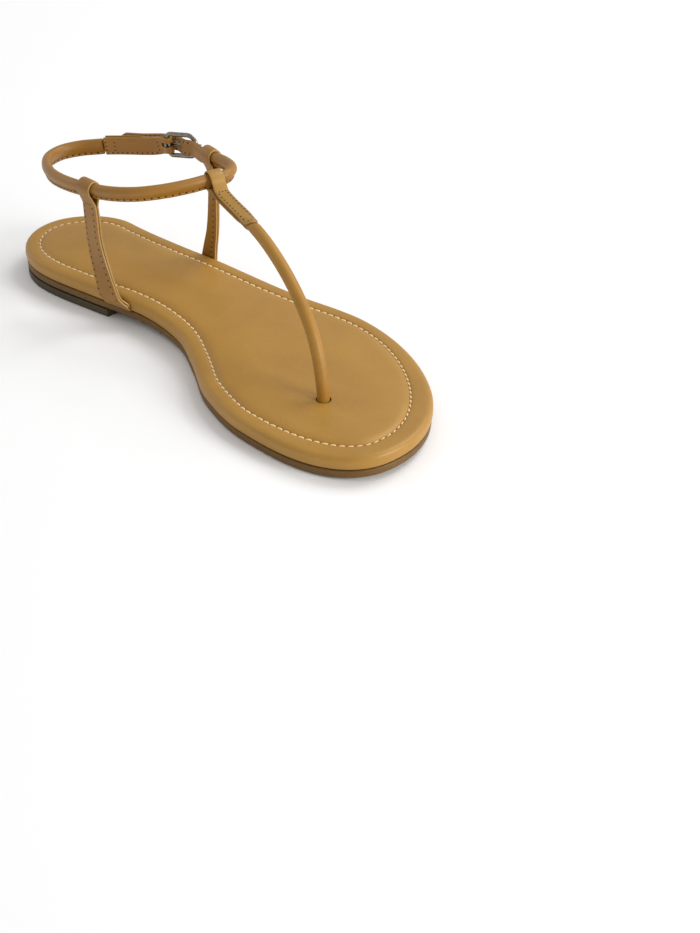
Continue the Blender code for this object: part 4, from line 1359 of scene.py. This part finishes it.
# Tumbled plate: its gloss changes slowly from place to place, like worn metal. Its colour
# runs from a dark to a light grey in the same patches: the light grey is the plate's own, the
# dark patches are painted reflections of a darker room than the white studio. The real marks
# are finer, but under 2 mm they would vanish in the picture.
PEWTER, tree = new_material("pewter_plated_zinc_tumbled_painted_reflections")
place = node(tree, "ShaderNodeTexCoord", {}, {}).outputs["Object"]
wear_and_painted_reflections = node(tree, "ShaderNodeTexNoise", {},
            {"Vector": place, "Scale": PER_METRE / WEAR_AND_REFLECTION_MM, "Detail": 4.0})
# Dark and light grey patches: painted reflections over the plate's own grey
painted_reflection_tone = node(tree, "ShaderNodeMix", {"data_type": "RGBA"},
            {"Factor": wear_and_painted_reflections, 6: linear("5f5a53"), 7: linear("b3ada2")})
polish = node(tree, "ShaderNodeMapRange", {}, {"Value": wear_and_painted_reflections, "To Min": 0.18, "To Max": 0.34})
dents = node(tree, "ShaderNodeBump", {},
             {"Height": wear_and_painted_reflections, "Strength": 0.15, "Distance": DENT_DEPTH})
metal = node(tree, "ShaderNodeBsdfPrincipled", {},
             {"Base Color": painted_reflection_tone.outputs[2], "Metallic": 1.0, "Roughness": polish, "Normal": dents})
node(tree, "ShaderNodeOutputMaterial", {}, {"Surface": metal})
print("made", PEWTER.name)

# %% Buckle frame
WIRE = 0.9
RAIL_OUT = 0.85
RAIL_TALL = 1.1
RAIL_SIDES = 20
FRAME_LONG = 15.5
FRAME_HALF_TALL = 5.0
FRAME_TILT_OUT = 3.4
FRAME_HINGE_ROUND = 1.6
FRAME_END_ROUND = 4.4
CORNER_STEPS = 12


def wire(name, points, radii, widths, closed, sides):
    """A wire skinned along points; radii run out from the shoe, widths up and down."""
    rings = []
    count = len(points)
    normal = BUCKLE_UP
    for i, point in enumerate(points):
        after = points[(i + 1) % count] if closed or i + 1 < count else points[i]
        before = points[i - 1] if closed or i > 0 else points[i]
        ahead = (after - before).normalized()
        normal = (normal - ahead * normal.dot(ahead)).normalized()
        aside = ahead.cross(normal)
        rings.append([point + normal * (widths[i] * math.cos(2 * math.pi * k / sides))
                      + aside * (radii[i] * math.sin(2 * math.pi * k / sides))
                      for k in range(sides)])
    return skin(name, rings, {}, closed=closed)


frame_line = []
for along, side, radius, start in (
        (0.0, -1, FRAME_HINGE_ROUND, 180), (FRAME_LONG, -1, FRAME_END_ROUND, 270),
        (FRAME_LONG, 1, FRAME_END_ROUND, 0), (0.0, 1, FRAME_HINGE_ROUND, 90)):
    inward = radius if along == 0.0 else -radius
    for k in range(CORNER_STEPS + 1):
        angle = math.radians(start + 90 * k / CORNER_STEPS)
        a = along + inward + radius * math.cos(angle)
        u = side * (FRAME_HALF_TALL - radius) + radius * math.sin(angle)
        frame_line.append(at_buckle(a, FRAME_TILT_OUT * a / FRAME_LONG, u))
buckle_frame = wire("buckle_frame_wire", frame_line, [RAIL_OUT] * len(frame_line),
                    [RAIL_TALL] * len(frame_line), True, RAIL_SIDES)
dress(buckle_frame, PEWTER, "buckle_frame")

# %% Prong
PRONG_WIRE = 0.6
PRONG_SIDES = 14
PRONG_CLEAR = 0.2
LOOP_START = -70
LOOP_TURN = 200
LOOP_STEPS = 16
BLADE_STEPS = 17
BLADE_REACH = 1.06
turn_radius = WIRE + PRONG_CLEAR + PRONG_WIRE
prong_line = []
for k in range(LOOP_STEPS + 1):
    angle = math.radians(LOOP_START - LOOP_TURN * k / LOOP_STEPS)
    prong_line.append(at_buckle(turn_radius * math.cos(angle), turn_radius * math.sin(angle)))
end_out = FRAME_TILT_OUT + WIRE + GAP + PRONG_WIRE
for k in range(1, BLADE_STEPS + 1):
    share = BLADE_REACH * k / BLADE_STEPS
    prong_line.append(at_buckle(FRAME_LONG * share, turn_radius + (end_out - turn_radius) * share))
taper = [1 - smooth_step((k - LOOP_STEPS) / (BLADE_STEPS + 1)) for k in range(len(prong_line))]
prong = wire("buckle_prong_wire", prong_line, [PRONG_WIRE * (0.75 + 0.25 * t) for t in taper],
             [PRONG_WIRE * (0.8 + 0.6 * t) for t in taper], False, PRONG_SIDES)
dress(prong, PEWTER, "buckle_prong")

# %% [markdown]
# ## The buckle's end piece
#
# This folded strip holds the hinge bar and is sewn over the flattened end of the ankle
# strap. Two rows cross it at its roll end, one row closes it near the bar, and one runs
# along its lower edge. It is built like the other folded straps, and the slot that lets
# the prong through its fold is then cut out.

# %% End piece
BAR_SPREAD = WIRE + GAP + LEAF / 2
CHAPE_SPREAD = LEAF_HALF_SPREAD + 0.1
CHAPE_SPREADS = (Spread(0.0, BAR_SPREAD), Spread(1.2, BAR_SPREAD - 0.1),
                 Spread(5.5, CHAPE_SPREAD), Spread(13.0, CHAPE_SPREAD),
                 Spread(17.0, TONGUE_HALF + GAP + LEAF / 2))
CHAPE_ROWS = (
    (ankle_row(-18.8, -104.4).place, 8.4), (ankle_row(-22.2, -98.3).place, 8.4),
    (ankle_row(-26.2, -90.1).place, 8.4), (ankle_row(-29.5, -82.2).place, 8.4),
    (at_buckle(-3.0, 0.0, -0.6), 7.8), (at_buckle(0.0, 0.0, -0.4), 7.2))
CHAPE_CROSS_PITCH = 1.9
CHAPE_NEAR_BAR = 6.0
CHAPE_FAR_END = 34.0
CHAPE_SEAMS = (Row("run", CHAPE_FAR_END, "over", -3.2, 3.2, CHAPE_CROSS_PITCH),
               Row("run", 29.5, "over", -3.2, 3.2, CHAPE_CROSS_PITCH),
               Row("run", CHAPE_NEAR_BAR, "over", -2.8, 2.8, CHAPE_CROSS_PITCH),
               Row("near_a", 1.0, "run", CHAPE_NEAR_BAR, CHAPE_FAR_END, FINE_PITCH))
PRONG_SLOT = (6.6, 9.0, 1.9)

# Flat calf, smoothed on both faces: a redder tan than the tab's, with the same full wax
CHAPE_CALF = calf("tan_calf_folded_end_piece", "a5721c", "986616", 0.44, "9a7434", CHAPE_SEAMS,
                  pit_radius=0.36)
chape, chape_frames, on_chape = folded_leather(
    "buckle_chape_fold", [StrapRow(place, width, UP * -1.0) for place, width in CHAPE_ROWS],
    CHAPE_SPREADS, BAR_SPREAD, LEAF)
slot = axes_matrix(BUCKLE_ALONG, BUCKLE_OUT, BUCKLE_UP, at_buckle(0.2, 0.0))
cut_out(chape, "prong_slot", box(PRONG_SLOT), slot)
dress(chape, CHAPE_CALF, "buckle_chape")
sew("buckle_chape_stitches", sew_rows(chape_frames, on_chape, CHAPE_SEAMS), FINE_SEAM,
    "buckle_chape")
